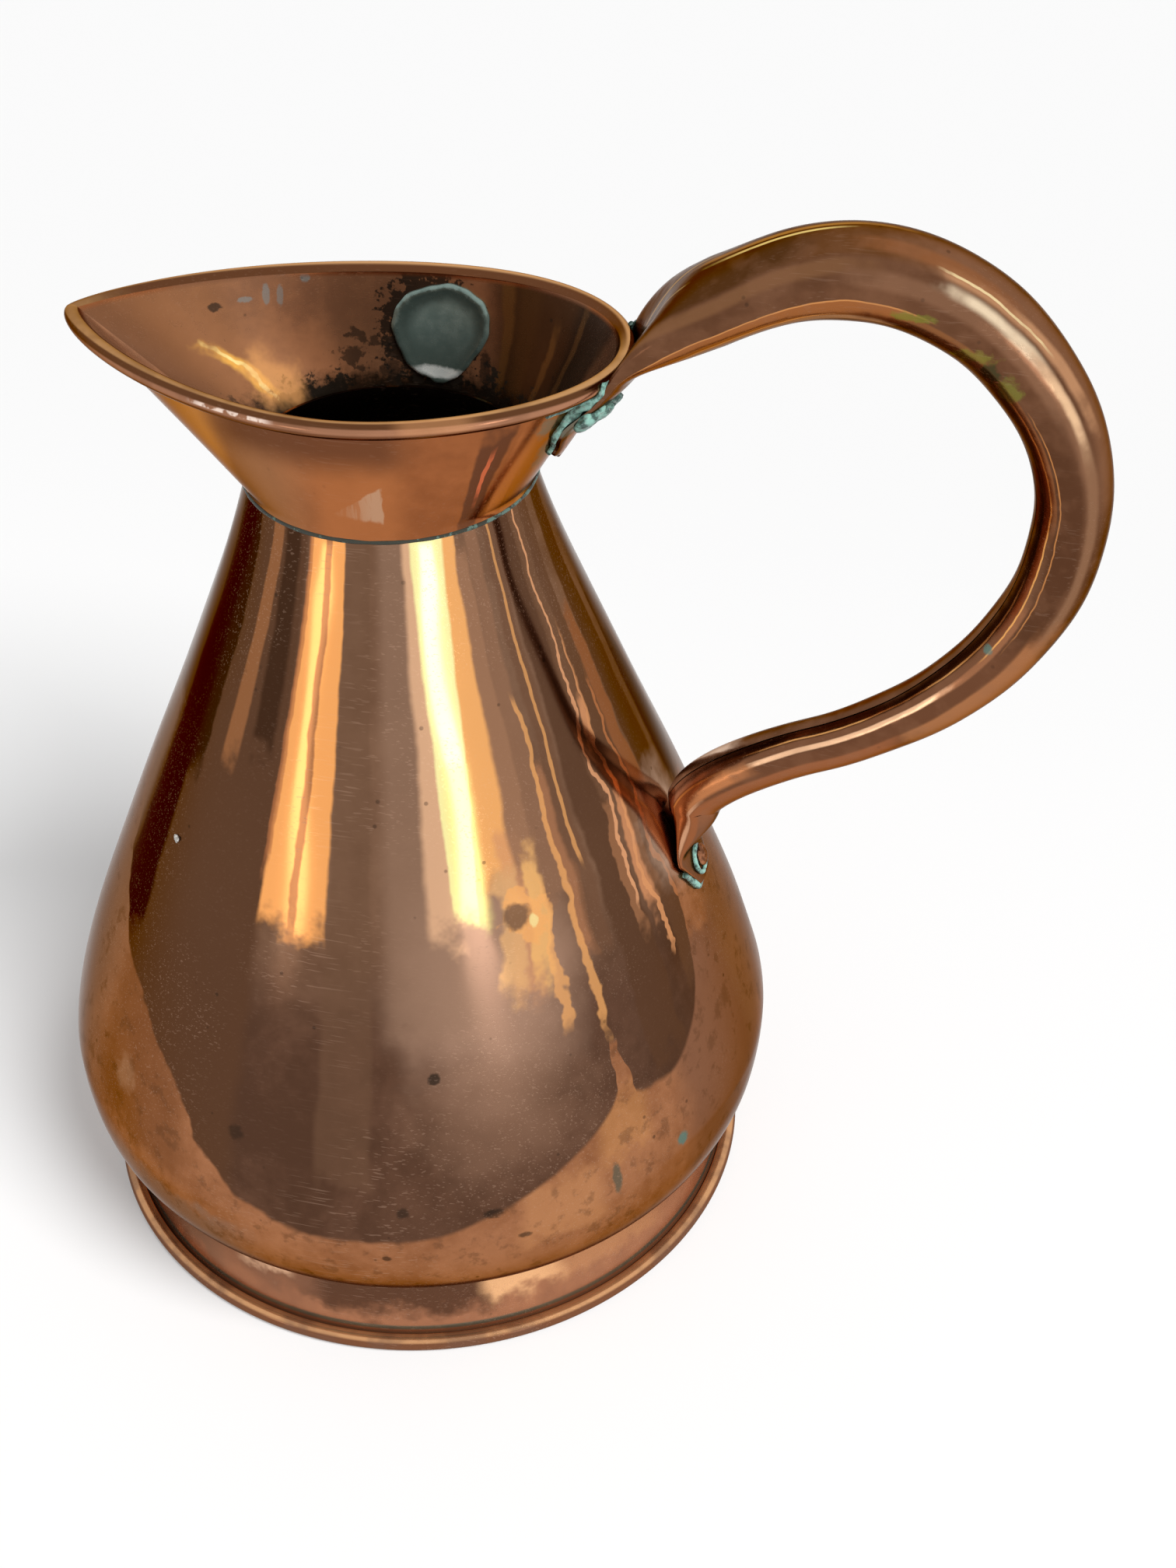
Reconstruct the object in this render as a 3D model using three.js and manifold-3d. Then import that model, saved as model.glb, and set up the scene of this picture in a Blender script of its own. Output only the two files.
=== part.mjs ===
// Copper harvest jug: a pear-shaped body on a flared foot, a collar drawn out to a pouring lip,
// and a hollow loop handle. Millimetres, +Z up. The spout points along -X and the handle along +X.
// The origin is the middle of the jug's footprint on the floor.

import * as THREE from "three";
import { mergeVertices } from "three/addons/utils/BufferGeometryUtils.js";
import Module from "manifold-3d";

// Fits and faceting
const seatGap = 0.3; // between two pieces that touch on the real jug
const roundSteps = 48; // facets round the jug's axis
const curlSteps = 8; // facets round a rolled edge
const wireSides = 6;

// Body, measured on its outside
const bodySheet = 1.0;
const bellyRadius = 129.5;
const tuckDepth = 17.5; // how far the body draws in under the belly
const bellyRise = 33; // from the tuck up to the widest line
const flankHeight = 227; // from the widest line up to the neck
const neckRadius = 45.6;
const bellyFullness = 32.5; // how long the flank stays steep above the widest line
const undersideFullness = 12.7; // how far the tuck runs level before it turns up
const undersideSteepness = 17.7; // how long the underside stays steep below the widest line
const neckEase = 42; // how long the flank holds its slope below the neck
const neckLean = 8.5; // how much wider the flank is over that length
const neckStub = 1; // neck edge standing up inside the collar, past the lap

// Foot band and base plate
const footSheet = 0.9;
const footBandHeight = 32.5;
const footLap = 11; // overlap of band and body
const footFlare = 9.8; // how far the rolled edge stands out beyond the tuck
const footWireRadius = 1.7;
const footArrival = 20; // degrees from upright at which the band runs in to its rolled edge
const footWear = 0.3; // depth worn flat where the jug stands
const curlTurn = 270; // degrees of a rolled edge
const baseSheet = 1.2;
const baseFlange = 8;

// Collar
const collarSheet = 0.9;
const collarRise = 40.4; // from the collar's lower edge to the middle of the rolled rim
const collarLap = 1.5; // upright edge round the neck
const lapGap = 0.3; // solder room between collar and neck
const spoutFlare = 55.3; // how far the rim stands out beyond the neck, at the lip
const sideFlare = 7.4;
const backFlare = 28.9;
const backRise = 4.4; // the rim climbs this much towards the handle
const lipLengthPower = 1.8; // the two powers of the pointed half of the rim's outline
const lipWidthPower = 1.28;
const lipDraw = 10; // degrees that the wall beside the lip is drawn in, against plain bent sheet
const rimWireRadius = 1.5;
const collarSteps = 52;
const turnWeight = 1.5; // how strongly the facets follow the turning of the rim, not its length

// Handle, a tube of sheet copper
const handleSheet = 1.0;
const crownRise = 34.6; // from the back of the rim up to the middle of the tube at its top
const crownReach = 68.9; // from the back of the rim out to the top
const handleReach = 136; // from the back of the rim out to the far side
const handleReachDrop = 37.3; // from the back of the rim down to the farthest point
const waistReach = 41; // from the lower root out to the bend of the S
const waistRise = 30;
const waistTurn = 25.6; // degrees above level at the bend of the S
const rootTurn = 66; // degrees above level where the tube leaves the rim
const footTurn = 65; // degrees above level where the tube comes down on the body
const rootBelowNeck = 121.5; // height of the lower root under the neck
const bladeHalfWidth = 20.8;
const rootHalfWidth = 22.4; // the widest place, a little above the rim
const rootWidest = 22; // from the rim along the tube
const rootHalfDepth = 11;
const rootRounding = 25; // from the rim along the tube to where it has that depth
const bladeHalfDepth = 1.3;
const crownRadius = 13.9;
const reachRadius = 11.5;
const waistRadius = 9.3;
const tabHalfWidth = 14.5;
const tabHalfDepth = 1.25;
const tabLength = 31; // down the flank, from the lower root to the blunt point
const tabShoulder = 17; // from the lower root to the full width
const tabPointLength = 14;
const tabTipHalfWidth = 6.5;
const tongueTip = 13; // from the neck up the collar wall to the tip of the tongue
const tongueTipHalfWidth = 3.2;
const tongueDrop = 20; // from the rim down the collar wall to where the tongue meets it
const seamGap = 0.5;
const seamTurn = 20; // degrees that the seam lies off the middle of the inner side
const sectionSteps = 14;
const bladeEase = 0.25; // extra clearance where the blade passes the rolled rim

// Rivet and rove
const rivetShankRadius = 2;
const rivetHeadRadius = 3.8;
const rivetHeadHeight = 2.2;
const rivetTailRadius = 3.6;
const rivetTailHeight = 1.7;
const rivetBelowRoot = 23; // along the tab
const rivetAside = -2; // to the left of the tab's middle line, seen from behind the handle
const roveRadius = 5;
const roveThickness = 1;
const rivetSides = 16;

// Solder and seal
const neckFillet = 1.5;
const footFillet = 3;
const baseFillet = 1.2;
const tabFillet = 1.8;
const topSolderHalfWidth = 19;
const solderTuck = 6; // how far above the tongue's bend the pocket is filled
const sealWidth = 29;
const sealHeight = 33;
const sealThickness = 1.6;
const sealEdge = 0.7;
const sealTurn = 82; // degrees round the jug from the handle to the seal
const sealMiddle = 0.5; // share of the collar wall's height at the middle of the seal

// Heights and radii that follow
const tuckRadius = bellyRadius - tuckDepth;
const tuckHeight = footBandHeight + seatGap;
const bodyEdgeHeight = footBandHeight - footLap;
const bellyHeight = tuckHeight + bellyRise;
const neckHeight = bellyHeight + flankHeight;
const rimHeight = neckHeight + collarRise;
const footRadius = tuckRadius + footFlare;

const wasm = await Module();
wasm.setup();

const degrees = THREE.MathUtils.degToRad;
const flat = (x, y) => new THREE.Vector2(x, y);
const point = (x, y, z) => new THREE.Vector3(x, y, z);

// A geometry with one vertex a corner, its faces turned to point out of the solid.
function facedOutward(geometry) {
  const bare = new THREE.BufferGeometry();
  bare.setAttribute("position", geometry.getAttribute("position"));
  bare.setIndex(geometry.getIndex());
  const merged = mergeVertices(bare, 1e-4);
  const place = merged.getAttribute("position");
  const index = Array.from(merged.getIndex().array);
  const corner = (i) => point(place.getX(i), place.getY(i), place.getZ(i));
  const kept = [];
  let volume = 0;
  for (let i = 0; i < index.length; i += 3) {
    const [a, b, c] = index.slice(i, i + 3);
    if (a === b || b === c || c === a) continue;
    kept.push([a, b, c]);
    volume += corner(a).dot(corner(b).cross(corner(c)));
  }
  const faces = volume < 0 ? kept.map(([a, b, c]) => [a, c, b]) : kept;
  merged.setIndex(faces.flat());
  return merged;
}

// A closed profile turned round the Z axis.
function turned(profile, steps = roundSteps) {
  const closed = profile[0].x === 0 ? profile : [...profile, profile[0]];
  const geometry = new THREE.LatheGeometry(closed, steps);
  geometry.rotateX(Math.PI / 2);
  return facedOutward(geometry);
}

// Rings of points joined one to the next; the row of rings closes on itself or ends in two caps.
function joinedRings(rings, capPairs) {
  const count = rings[0].length;
  const position = new Float32Array(rings.flat().flatMap((p) => [p.x, p.y, p.z]));
  const faces = [];
  const quad = (a, b, c, d) => faces.push(a, b, c, a, c, d);
  const last = capPairs ? rings.length - 1 : rings.length;
  for (let i = 0; i < last; i += 1) {
    const here = i * count;
    const next = ((i + 1) % rings.length) * count;
    for (let k = 0; k < count; k += 1) {
      const other = (k + 1) % count;
      quad(here + k, here + other, next + other, next + k);
    }
  }
  if (capPairs) {
    const end = (rings.length - 1) * count;
    for (const [a, b, c, d] of capPairs) {
      quad(d, c, b, a);
      quad(end + a, end + b, end + c, end + d);
    }
  }
  const geometry = new THREE.BufferGeometry();
  geometry.setAttribute("position", new THREE.BufferAttribute(position, 3));
  geometry.setIndex(faces);
  return facedOutward(geometry);
}

// The same geometry as a solid, and back, for cutting holes.
function solidOf(geometry) {
  const vertProperties = new Float32Array(geometry.getAttribute("position").array);
  const triVerts = new Uint32Array(geometry.getIndex().array);
  return new wasm.Manifold(new wasm.Mesh({ numProp: 3, vertProperties, triVerts }));
}

function geometryOf(solid) {
  const mesh = solid.getMesh();
  const geometry = new THREE.BufferGeometry();
  geometry.setAttribute("position", new THREE.BufferAttribute(new Float32Array(mesh.vertProperties), 3));
  geometry.setIndex(Array.from(mesh.triVerts));
  return geometry;
}

// Each point of a flat line moved sideways, to the left of its run.
function movedAside(line, distance) {
  return line.map((p, i) => {
    const before = line[Math.max(i - 1, 0)];
    const after = line[Math.min(i + 1, line.length - 1)];
    const run = after.clone().sub(before).normalize();
    return flat(p.x - run.y * distance, p.y + run.x * distance);
  });
}

// Smooth steps between named values: rows are [where, value].
function eased(rows, where) {
  const last = rows.length - 1;
  if (where <= rows[0][0]) return rows[0][1];
  if (where >= rows[last][0]) return rows[last][1];
  const i = rows.findIndex(([at]) => at > where);
  const [from, low] = rows[i - 1];
  const [to, high] = rows[i];
  const share = (where - from) / (to - from);
  return low + (high - low) * share * share * (3 - 2 * share);
}

// Body: outer line from the tucked edge up to the neck.
const underside = new THREE.CubicBezierCurve(
  flat(tuckRadius, tuckHeight),
  flat(tuckRadius + undersideFullness, tuckHeight),
  flat(bellyRadius, bellyHeight - undersideSteepness),
  flat(bellyRadius, bellyHeight),
);
const neckEdge = neckHeight - seatGap;
const flank = new THREE.CubicBezierCurve(
  flat(bellyRadius, bellyHeight),
  flat(bellyRadius, bellyHeight + bellyFullness),
  flat(neckRadius + neckLean, neckEdge - neckEase),
  flat(neckRadius, neckEdge),
);

// Places on the flank, in equal strides from the belly up, each with its outward direction.
const flankStrides = 500;
const flankSpots = flank.getSpacedPoints(flankStrides);
const flankStride = flank.getLength() / flankStrides;

function flankSpot(rank) {
  const low = Math.min(Math.max(Math.floor(rank), 0), flankStrides - 1);
  const [from, to] = [flankSpots[low], flankSpots[low + 1]];
  const run = to.clone().sub(from).normalize();
  return { at: from.clone().lerp(to, rank - low), out: flat(run.y, -run.x) };
}

function flankRank(height) {
  const high = flankSpots.findIndex((spot) => spot.y > height);
  const [below, above] = [flankSpots[high - 1], flankSpots[high]];
  return high - 1 + (height - below.y) / (above.y - below.y);
}

const flankAt = (height) => flankSpot(flankRank(height));

function bodyGeometry() {
  const undersideSteps = 4;
  const flankSteps = 10;
  const outer = [
    flat(tuckRadius, bodyEdgeHeight),
    ...underside.getPoints(undersideSteps),
    ...flank.getPoints(flankSteps).slice(1),
    flat(neckRadius, neckHeight + collarLap + neckStub),
  ];
  const inner = movedAside(outer, bodySheet);
  inner[0].set(tuckRadius - bodySheet, outer[0].y);
  inner[1].set(tuckRadius - bodySheet, outer[1].y + bodySheet);
  inner[inner.length - 1].set(neckRadius - bodySheet, outer[outer.length - 1].y);
  inner[inner.length - 2].x = neckRadius - bodySheet;
  return turned([...outer, ...inner.reverse()]);
}

function bottomPlateGeometry() {
  const radius = tuckRadius - bodySheet - seatGap;
  const top = bodyEdgeHeight + baseFlange;
  const bend = baseSheet;
  return turned([
    flat(0, top),
    flat(radius - bend, top),
    flat(radius, top - bend),
    flat(radius, bodyEdgeHeight),
    flat(radius - baseSheet, bodyEdgeHeight),
    flat(radius - baseSheet, top - 2 * bend),
    flat(radius - 2 * bend, top - baseSheet),
    flat(0, top - baseSheet),
  ]);
}

function baseSolderGeometry() {
  const inside = tuckRadius - bodySheet - seatGap - baseSheet;
  const top = bodyEdgeHeight - seatGap;
  return turned([
    flat(inside, top),
    flat(tuckRadius, top),
    flat(tuckRadius - baseFillet / 2, top - baseFillet),
    flat(inside + baseFillet / 2, top - baseFillet),
  ]);
}

// Rolled edge: the arc of a sheet round its wire, as points from the inside and from the outside.
function curlArc(centre, radius, start, sense) {
  return Array.from({ length: curlSteps + 1 }, (_, i) => {
    const angle = degrees(start + (sense * curlTurn * i) / curlSteps);
    return flat(centre.x + radius * Math.cos(angle), centre.y + radius * Math.sin(angle));
  });
}

// Foot band: laps the tucked body, flares, and rolls outwards and up round its wire.
const footCurlOuter = footWireRadius + seatGap + footSheet;
const footCurlCentre = flat(footRadius - footCurlOuter, footCurlOuter - footWear);

// The part of a line that stands above the floor, joined by a level stretch.
function wornFlat(line) {
  return line.flatMap((p, i) => {
    const next = line[i + 1];
    const kept = p.y >= 0 ? [p] : [];
    if (next && p.y * next.y < 0) kept.push(p.clone().lerp(next, p.y / (p.y - next.y)).setY(0));
    return kept;
  });
}

function footBandGeometry() {
  const middle = footCurlOuter - footSheet / 2;
  const start = 180 + footArrival;
  const arrival = flat(
    footCurlCentre.x + middle * Math.cos(degrees(start)),
    footCurlCentre.y + middle * Math.sin(degrees(start)),
  );
  const upright = tuckRadius + seatGap + footSheet / 2;
  const reach = (bodyEdgeHeight - arrival.y) / 2;
  const flare = new THREE.CubicBezierCurve(
    flat(upright, bodyEdgeHeight),
    flat(upright, bodyEdgeHeight - reach),
    flat(arrival.x - (reach / 2) * Math.sin(degrees(footArrival)), arrival.y + reach / 2),
    arrival,
  );
  const flareSteps = 3;
  const line = [flat(upright, footBandHeight), ...flare.getPoints(flareSteps).slice(0, -1)];
  const inner = movedAside(line, -footSheet / 2);
  const outer = movedAside(line, footSheet / 2);
  const curlOutside = wornFlat(curlArc(footCurlCentre, footCurlOuter, start, 1));
  const curlInside = curlArc(footCurlCentre, footCurlOuter - footSheet, start, 1);
  return turned([...inner, ...curlOutside, ...curlInside.reverse(), ...outer.reverse()]);
}

function wireProfile(centre, radius) {
  return Array.from({ length: wireSides }, (_, i) => {
    const angle = ((i + 0.5) / wireSides) * 2 * Math.PI;
    return flat(centre.x + radius * Math.cos(angle), centre.y + radius * Math.sin(angle));
  });
}

function footWireGeometry() {
  return turned(wireProfile(footCurlCentre, footWireRadius));
}

// The fillet fills the corner between the band's outside and the belly.
function footSolderGeometry() {
  const inside = tuckRadius + 2 * seatGap + footSheet;
  const lip = inside + footFillet;
  const undersideAt = (radius) => underside.getPoints(60).find((p) => p.x >= radius).y;
  return turned([
    flat(inside, footBandHeight - footFillet),
    flat(lip, undersideAt(lip) - 2 * seatGap),
    flat(lip, undersideAt(lip) - seatGap),
    flat(inside, undersideAt(inside) - seatGap),
  ]);
}

// Collar: straight rulings from the round neck to the rim, each joining two places where
// neck and rim run the same way, as bent sheet does.
const curlOuter = rimWireRadius + seatGap + collarSheet;
const curlMiddle = curlOuter - collarSheet / 2;
const wallRadius = neckRadius + lapGap + collarSheet / 2;
const wallFoot = neckHeight + collarLap;
const backReach = neckRadius + backFlare;
const rimBackRadius = (neckRadius + sideFlare) ** 2 / backReach; // the rim's own curve at the handle

// The rim's middle line at a turn: 0 at the lip, a half turn at the handle.
function rimAt(turn) {
  const along = Math.cos(turn);
  const across = Math.sin(turn);
  const halfWidth = neckRadius + sideFlare;
  const front = along > 0;
  const length = front ? neckRadius + spoutFlare : backReach;
  const lengthPower = front ? lipLengthPower : 2;
  const widthPower = front ? lipWidthPower : 2;
  const x = -Math.sign(along) * length * Math.abs(along) ** (2 / lengthPower);
  const y = Math.sign(across) * halfWidth * Math.abs(across) ** (2 / widthPower);
  const toLip = -x / Math.hypot(x, y);
  const climb = (backRise * toLip * (toLip - 1)) / 2;
  const slope = flat(
    (Math.sign(x) * lengthPower * Math.abs(x / length) ** (lengthPower - 1)) / length,
    (Math.sign(y) * widthPower * Math.abs(y / halfWidth) ** (widthPower - 1)) / halfWidth,
  );
  return { along, place: point(x, y, rimHeight + climb), out: slope.normalize() };
}

// One ruling of the collar, with its outward and sideways directions.
function rulingAt(turn) {
  const { along, place, out } = rimAt(turn);
  const away = point(out.x, out.y, 0);
  const beside = point(0, 0, 1).cross(away);
  const drawn = along > 0 ? degrees(lipDraw) * Math.sin(2 * Math.atan2(out.y, -out.x)) : 0;
  const neck = away.clone().applyAxisAngle(point(0, 0, 1), drawn);
  neck.multiplyScalar(wallRadius).setZ(wallFoot);
  const span = place.clone().sub(neck);
  const flatSpan = flat(span.dot(away), span.z);
  const lean = Math.atan2(flatSpan.y, flatSpan.x) + Math.asin(curlMiddle / flatSpan.length());
  const length = Math.sqrt(flatSpan.lengthSq() - curlMiddle ** 2);
  const up = away.clone().multiplyScalar(Math.cos(lean)).setZ(Math.sin(lean));
  const outward = away.clone().multiplyScalar(Math.sin(lean)).setZ(-Math.cos(lean));
  const drift = beside.clone().multiplyScalar(span.dot(beside) / length);
  return { neck, rim: place, away, beside, up, outward, drift, lean, length };
}

// A point on the collar wall, measured up the ruling and out from the middle of the sheet.
function onWall(ruling, along, out) {
  return ruling.neck
    .clone()
    .addScaledVector(ruling.up, along)
    .addScaledVector(ruling.drift, along)
    .addScaledVector(ruling.outward, out);
}

// Turns that share out the facets by the rim's length and by its turning.
function collarTurns() {
  const fine = 2400;
  const marks = Array.from({ length: fine + 1 }, (_, i) => (i / fine) * Math.PI);
  const steps = [0];
  for (let i = 1; i <= fine; i += 1) {
    const here = rimAt(marks[i]);
    const before = rimAt(marks[i - 1]);
    const run = here.place.distanceTo(before.place) / (Math.PI * wallRadius);
    const bend = Math.abs(here.out.angleTo(before.out)) / Math.PI;
    steps.push(steps[i - 1] + run + turnWeight * bend);
  }
  const half = collarSteps / 2;
  const turns = Array.from({ length: half + 1 }, (_, k) => {
    const wanted = (steps[fine] * k) / half;
    return marks[Math.max(steps.findIndex((s) => s >= wanted), 0)];
  });
  turns[half] = Math.PI;
  return [...turns, ...turns.slice(1, -1).reverse().map((t) => 2 * Math.PI - t)];
}

const turns = collarTurns();

function collarGeometry() {
  const wallSteps = 2;
  const side = (ruling, out) => [
    ruling.neck.clone().setZ(0).setLength(wallRadius + out).setZ(neckHeight),
    ...Array.from({ length: wallSteps }, (_, i) => onWall(ruling, (ruling.length * i) / wallSteps, out)),
  ];
  const curl = (ruling, radius) => {
    const start = 180 - (90 - THREE.MathUtils.radToDeg(ruling.lean));
    return curlArc(flat(0, 0), radius, start, -1).map((p) =>
      ruling.rim.clone().addScaledVector(ruling.away, p.x).add(point(0, 0, p.y)),
    );
  };
  const rings = turns.map((turn) => {
    const ruling = rulingAt(turn);
    return [
      ...side(ruling, collarSheet / 2).reverse(),
      ...side(ruling, -collarSheet / 2),
      ...curl(ruling, curlOuter),
      ...curl(ruling, curlOuter - collarSheet).reverse(),
    ];
  });
  return joinedRings(rings);
}

function rimWireGeometry() {
  const rings = turns.map((turn) => {
    const ruling = rulingAt(turn);
    return wireProfile(flat(0, 0), rimWireRadius).map((p) =>
      ruling.rim.clone().addScaledVector(ruling.away, p.x).add(point(0, 0, p.y)),
    );
  });
  return joinedRings(rings);
}

// The solder fills the corner between the collar's lower edge and the flank.
function neckSolderGeometry() {
  const outside = neckRadius + lapGap + collarSheet + neckFillet / 6;
  const under = neckHeight - seatGap;
  const low = flankAt(under - neckFillet);
  return turned([
    flat(low.at.x + seatGap, low.at.y),
    flat(outside, under - neckFillet / 3),
    flat(outside, under),
    flat(neckRadius + seatGap, under),
  ]);
}

// Handle: stations along a flat path, each with its middle, its run and its section.
const back = rulingAt(Math.PI);
const rimBack = flat(back.rim.x, back.rim.z);
const heading = (turn) => flat(Math.cos(degrees(turn)), Math.sin(degrees(turn)));

// The middle of the flattened tongue, up the collar wall, and of the tab, down the flank.
function tongueAt(along) {
  const place = onWall(back, along, collarSheet / 2 + seatGap + bladeHalfDepth);
  return flat(place.x, place.z);
}

// A place on the flank at a distance down from the lower root.
const rootRank = flankRank(neckHeight - rootBelowNeck);
const belowRoot = (distance) => flankSpot(rootRank - distance / flankStride);

function tabAt(distance, halfDepth) {
  const { at, out } = belowRoot(distance);
  return at.clone().addScaledVector(out, seatGap + halfDepth);
}

function handlePath() {
  const clearance = curlOuter + seatGap + bladeHalfDepth + bladeEase;
  const blade = rimBack.clone().add(flat(clearance, -curlOuter * bladeEase));
  const crown = rimBack.clone().add(flat(crownReach, crownRise));
  const farSide = rimBack.clone().add(flat(handleReach, -handleReachDrop));
  const foot = tabAt(0, waistRadius);
  const waist = foot.clone().add(flat(waistReach, waistRise));
  const up = heading(rootTurn);
  const down = heading(waistTurn);
  const settle = heading(footTurn);
  const tongueRun = flat(Math.cos(back.lean), Math.sin(back.lean));
  const tongueTop = tongueAt(back.length - tongueDrop);
  const piece = (a, b, c, d) => new THREE.CubicBezierCurve(a, b, c, d);
  const path = new THREE.CurvePath();
  path.add(new THREE.LineCurve(tongueAt(tongueTip), tongueTop));
  const underRim = tongueTop.distanceTo(blade) / 3;
  path.add(
    piece(
      tongueTop,
      tongueTop.clone().addScaledVector(tongueRun, underRim * 0.7),
      blade.clone().addScaledVector(up, -underRim),
      blade,
    ),
  );
  const rise = crown.y - blade.y;
  const reach = crown.x - blade.x;
  path.add(
    piece(
      blade,
      blade.clone().addScaledVector(up, rise * 0.43),
      crown.clone().add(flat(-reach * 0.41, 0)),
      crown,
    ),
  );
  const out = farSide.x - crown.x;
  const fall = crown.y - farSide.y;
  path.add(
    piece(
      crown,
      crown.clone().add(flat(out * 0.52, 0)),
      farSide.clone().add(flat(0, fall * 0.51)),
      farSide,
    ),
  );
  const sweep = farSide.y - waist.y;
  path.add(
    piece(
      farSide,
      farSide.clone().add(flat(0, -sweep * 0.46)),
      waist.clone().addScaledVector(down, sweep * 0.43),
      waist,
    ),
  );
  path.add(
    piece(
      waist,
      waist.clone().addScaledVector(down, -waistReach * 0.36),
      foot.clone().addScaledVector(settle, waistRise * 0.4),
      foot,
    ),
  );
  return path;
}

// Half the width of the flat tab, and of its point, at a distance down from the lower root.
function tabEdgeAt(along) {
  const toPoint = Math.max(along - (tabLength - tabPointLength), 0) / tabPointLength;
  return tabHalfWidth + (tabTipHalfWidth - tabHalfWidth) * toPoint;
}

// Sections along the tube: half width across, half depth in the handle's plane, squareness of
// the outline, and how sharply the section wraps round the jug.
function handleStations() {
  const path = handlePath();
  const lengths = path.getCurveLengths();
  const [tongue, bend, toCrown, toFar, toWaist, toFoot] = lengths;
  const widths = [
    [0, tongueTipHalfWidth],
    [tongue * 0.45, bladeHalfWidth * 0.62],
    [tongue, bladeHalfWidth * 0.85],
    [bend, bladeHalfWidth],
    [bend + rootWidest, rootHalfWidth],
    [toCrown, crownRadius],
    [toFar, reachRadius],
    [toWaist, waistRadius],
    [toFoot, waistRadius * 1.1],
  ];
  const depths = [
    [bend, bladeHalfDepth],
    [bend + rootRounding, rootHalfDepth],
    [toCrown, crownRadius],
    [toFar, reachRadius],
    [toWaist, waistRadius],
  ];
  const square = [
    [bend, 4],
    [bend + rootRounding, 2],
  ];
  const wraps = [
    [tongue, 1 / wallRadius],
    [bend, 1 / (rimBackRadius + curlOuter)],
    [bend + 2 * rootRounding, 0],
  ];
  const counts = [3, 4, 9, 9, 10, 4];
  const stations = [];
  counts.forEach((count, piece) => {
    const curve = path.curves[piece];
    const before = piece === 0 ? 0 : lengths[piece - 1];
    const from = piece === 0 ? 0 : 1;
    for (let i = from; i <= count; i += 1) {
      const share = i / count;
      const along = before + share * (lengths[piece] - before);
      stations.push({
        middle: curve.getPointAt(share),
        halfWidth: eased(widths, along),
        halfDepth: eased(depths, along),
        power: eased(square, along),
        wrap: eased(wraps, along),
      });
    }
  });
  const wrapAtTab = 1 / belowRoot(0).at.x;
  const tabCount = 8;
  for (let i = 1; i <= tabCount; i += 1) {
    const along = (tabLength * i) / tabCount;
    const halfDepth = eased([[0, waistRadius], [tabShoulder, tabHalfDepth]], along);
    const wide = eased([[0, waistRadius * 1.1], [tabShoulder, tabHalfWidth]], along);
    stations.push({
      middle: tabAt(along, halfDepth),
      halfWidth: Math.min(wide, tabEdgeAt(along)),
      halfDepth,
      power: eased([[0, 2], [tabShoulder, 4]], along),
      wrap: eased([[0, 0], [tabShoulder, wrapAtTab]], along),
    });
  }
  return stations;
}

// A rounded outline, from the seam once round to the seam again.
function seamedOutline(halfWidth, halfDepth, power, sense) {
  const start = degrees(-90 - seamTurn);
  const at = (angle) => {
    const across = Math.cos(angle);
    const depth = (1 - Math.abs(across) ** power) ** (1 / power);
    return flat(halfWidth * across, halfDepth * Math.sign(Math.sin(angle)) * depth);
  };
  const probe = 0.01;
  const speed = at(start + probe).distanceTo(at(start - probe)) / (2 * probe);
  const half = seamGap / 2 / speed;
  const outline = Array.from({ length: sectionSteps + 1 }, (_, i) =>
    at(start + half + ((2 * Math.PI - 2 * half) * i) / sectionSteps),
  );
  return sense > 0 ? outline : outline.reverse();
}

function handleGeometry() {
  const stations = handleStations();
  const rings = stations.map((station, i) => {
    const before = stations[Math.max(i - 1, 0)].middle;
    const after = stations[Math.min(i + 1, stations.length - 1)].middle;
    const run = after.clone().sub(before).normalize();
    const outer = flat(-run.y, run.x);
    const { middle, halfWidth, halfDepth, power, wrap } = station;
    const inside = handleSheet;
    const section = [
      ...seamedOutline(halfWidth, halfDepth, power, 1),
      ...seamedOutline(halfWidth - inside, halfDepth - inside, power, -1),
    ];
    return section.map((p) =>
      point(middle.x + outer.x * p.y - (wrap * p.x * p.x) / 2, p.x, middle.y + outer.y * p.y),
    );
  });
  const last = 2 * sectionSteps + 1;
  const capPairs = Array.from({ length: sectionSteps }, (_, k) => [k, k + 1, last - k - 1, last - k]);
  return joinedRings(rings, capPairs);
}

// Rivet: its axis stands square on the flank, through tab and wall. Positive is outward.
const rivetSeat = belowRoot(rivetBelowRoot);
const tabOutside = seatGap + 2 * tabHalfDepth;
const facetSag = rivetSeat.at.x * (1 - Math.cos(Math.PI / roundSteps));
const roveSag = roveRadius ** 2 / 2 / rivetSeat.at.x + facetSag;
const roveTop = -bodySheet - seatGap - roveSag;
const roveBottom = roveTop - roveThickness;

function onRivetAxis(geometry) {
  const axis = point(rivetSeat.out.x, 0, rivetSeat.out.y);
  const turnTo = new THREE.Quaternion().setFromUnitVectors(point(0, 0, 1), axis);
  geometry.applyQuaternion(turnTo);
  return geometry.translate(rivetSeat.at.x, rivetAside, rivetSeat.at.y);
}

function rivetGeometry() {
  const head = tabOutside + seatGap;
  const tail = roveBottom - seatGap;
  return onRivetAxis(
    turned(
      [
        flat(0, head + rivetHeadHeight),
        flat(rivetHeadRadius * 0.55, head + rivetHeadHeight * 0.84),
        flat(rivetHeadRadius, head + rivetHeadHeight * 0.25),
        flat(rivetHeadRadius, head),
        flat(rivetShankRadius, head),
        flat(rivetShankRadius, tail),
        flat(rivetTailRadius, tail),
        flat(rivetTailRadius * 0.6, tail - rivetTailHeight),
        flat(0, tail - rivetTailHeight),
      ],
      rivetSides,
    ),
  );
}

function roveGeometry() {
  const hole = rivetShankRadius + seatGap;
  return onRivetAxis(
    turned(
      [
        flat(hole, roveTop),
        flat(roveRadius, roveTop),
        flat(roveRadius, roveBottom),
        flat(hole, roveBottom),
      ],
      rivetSides,
    ),
  );
}

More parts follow.
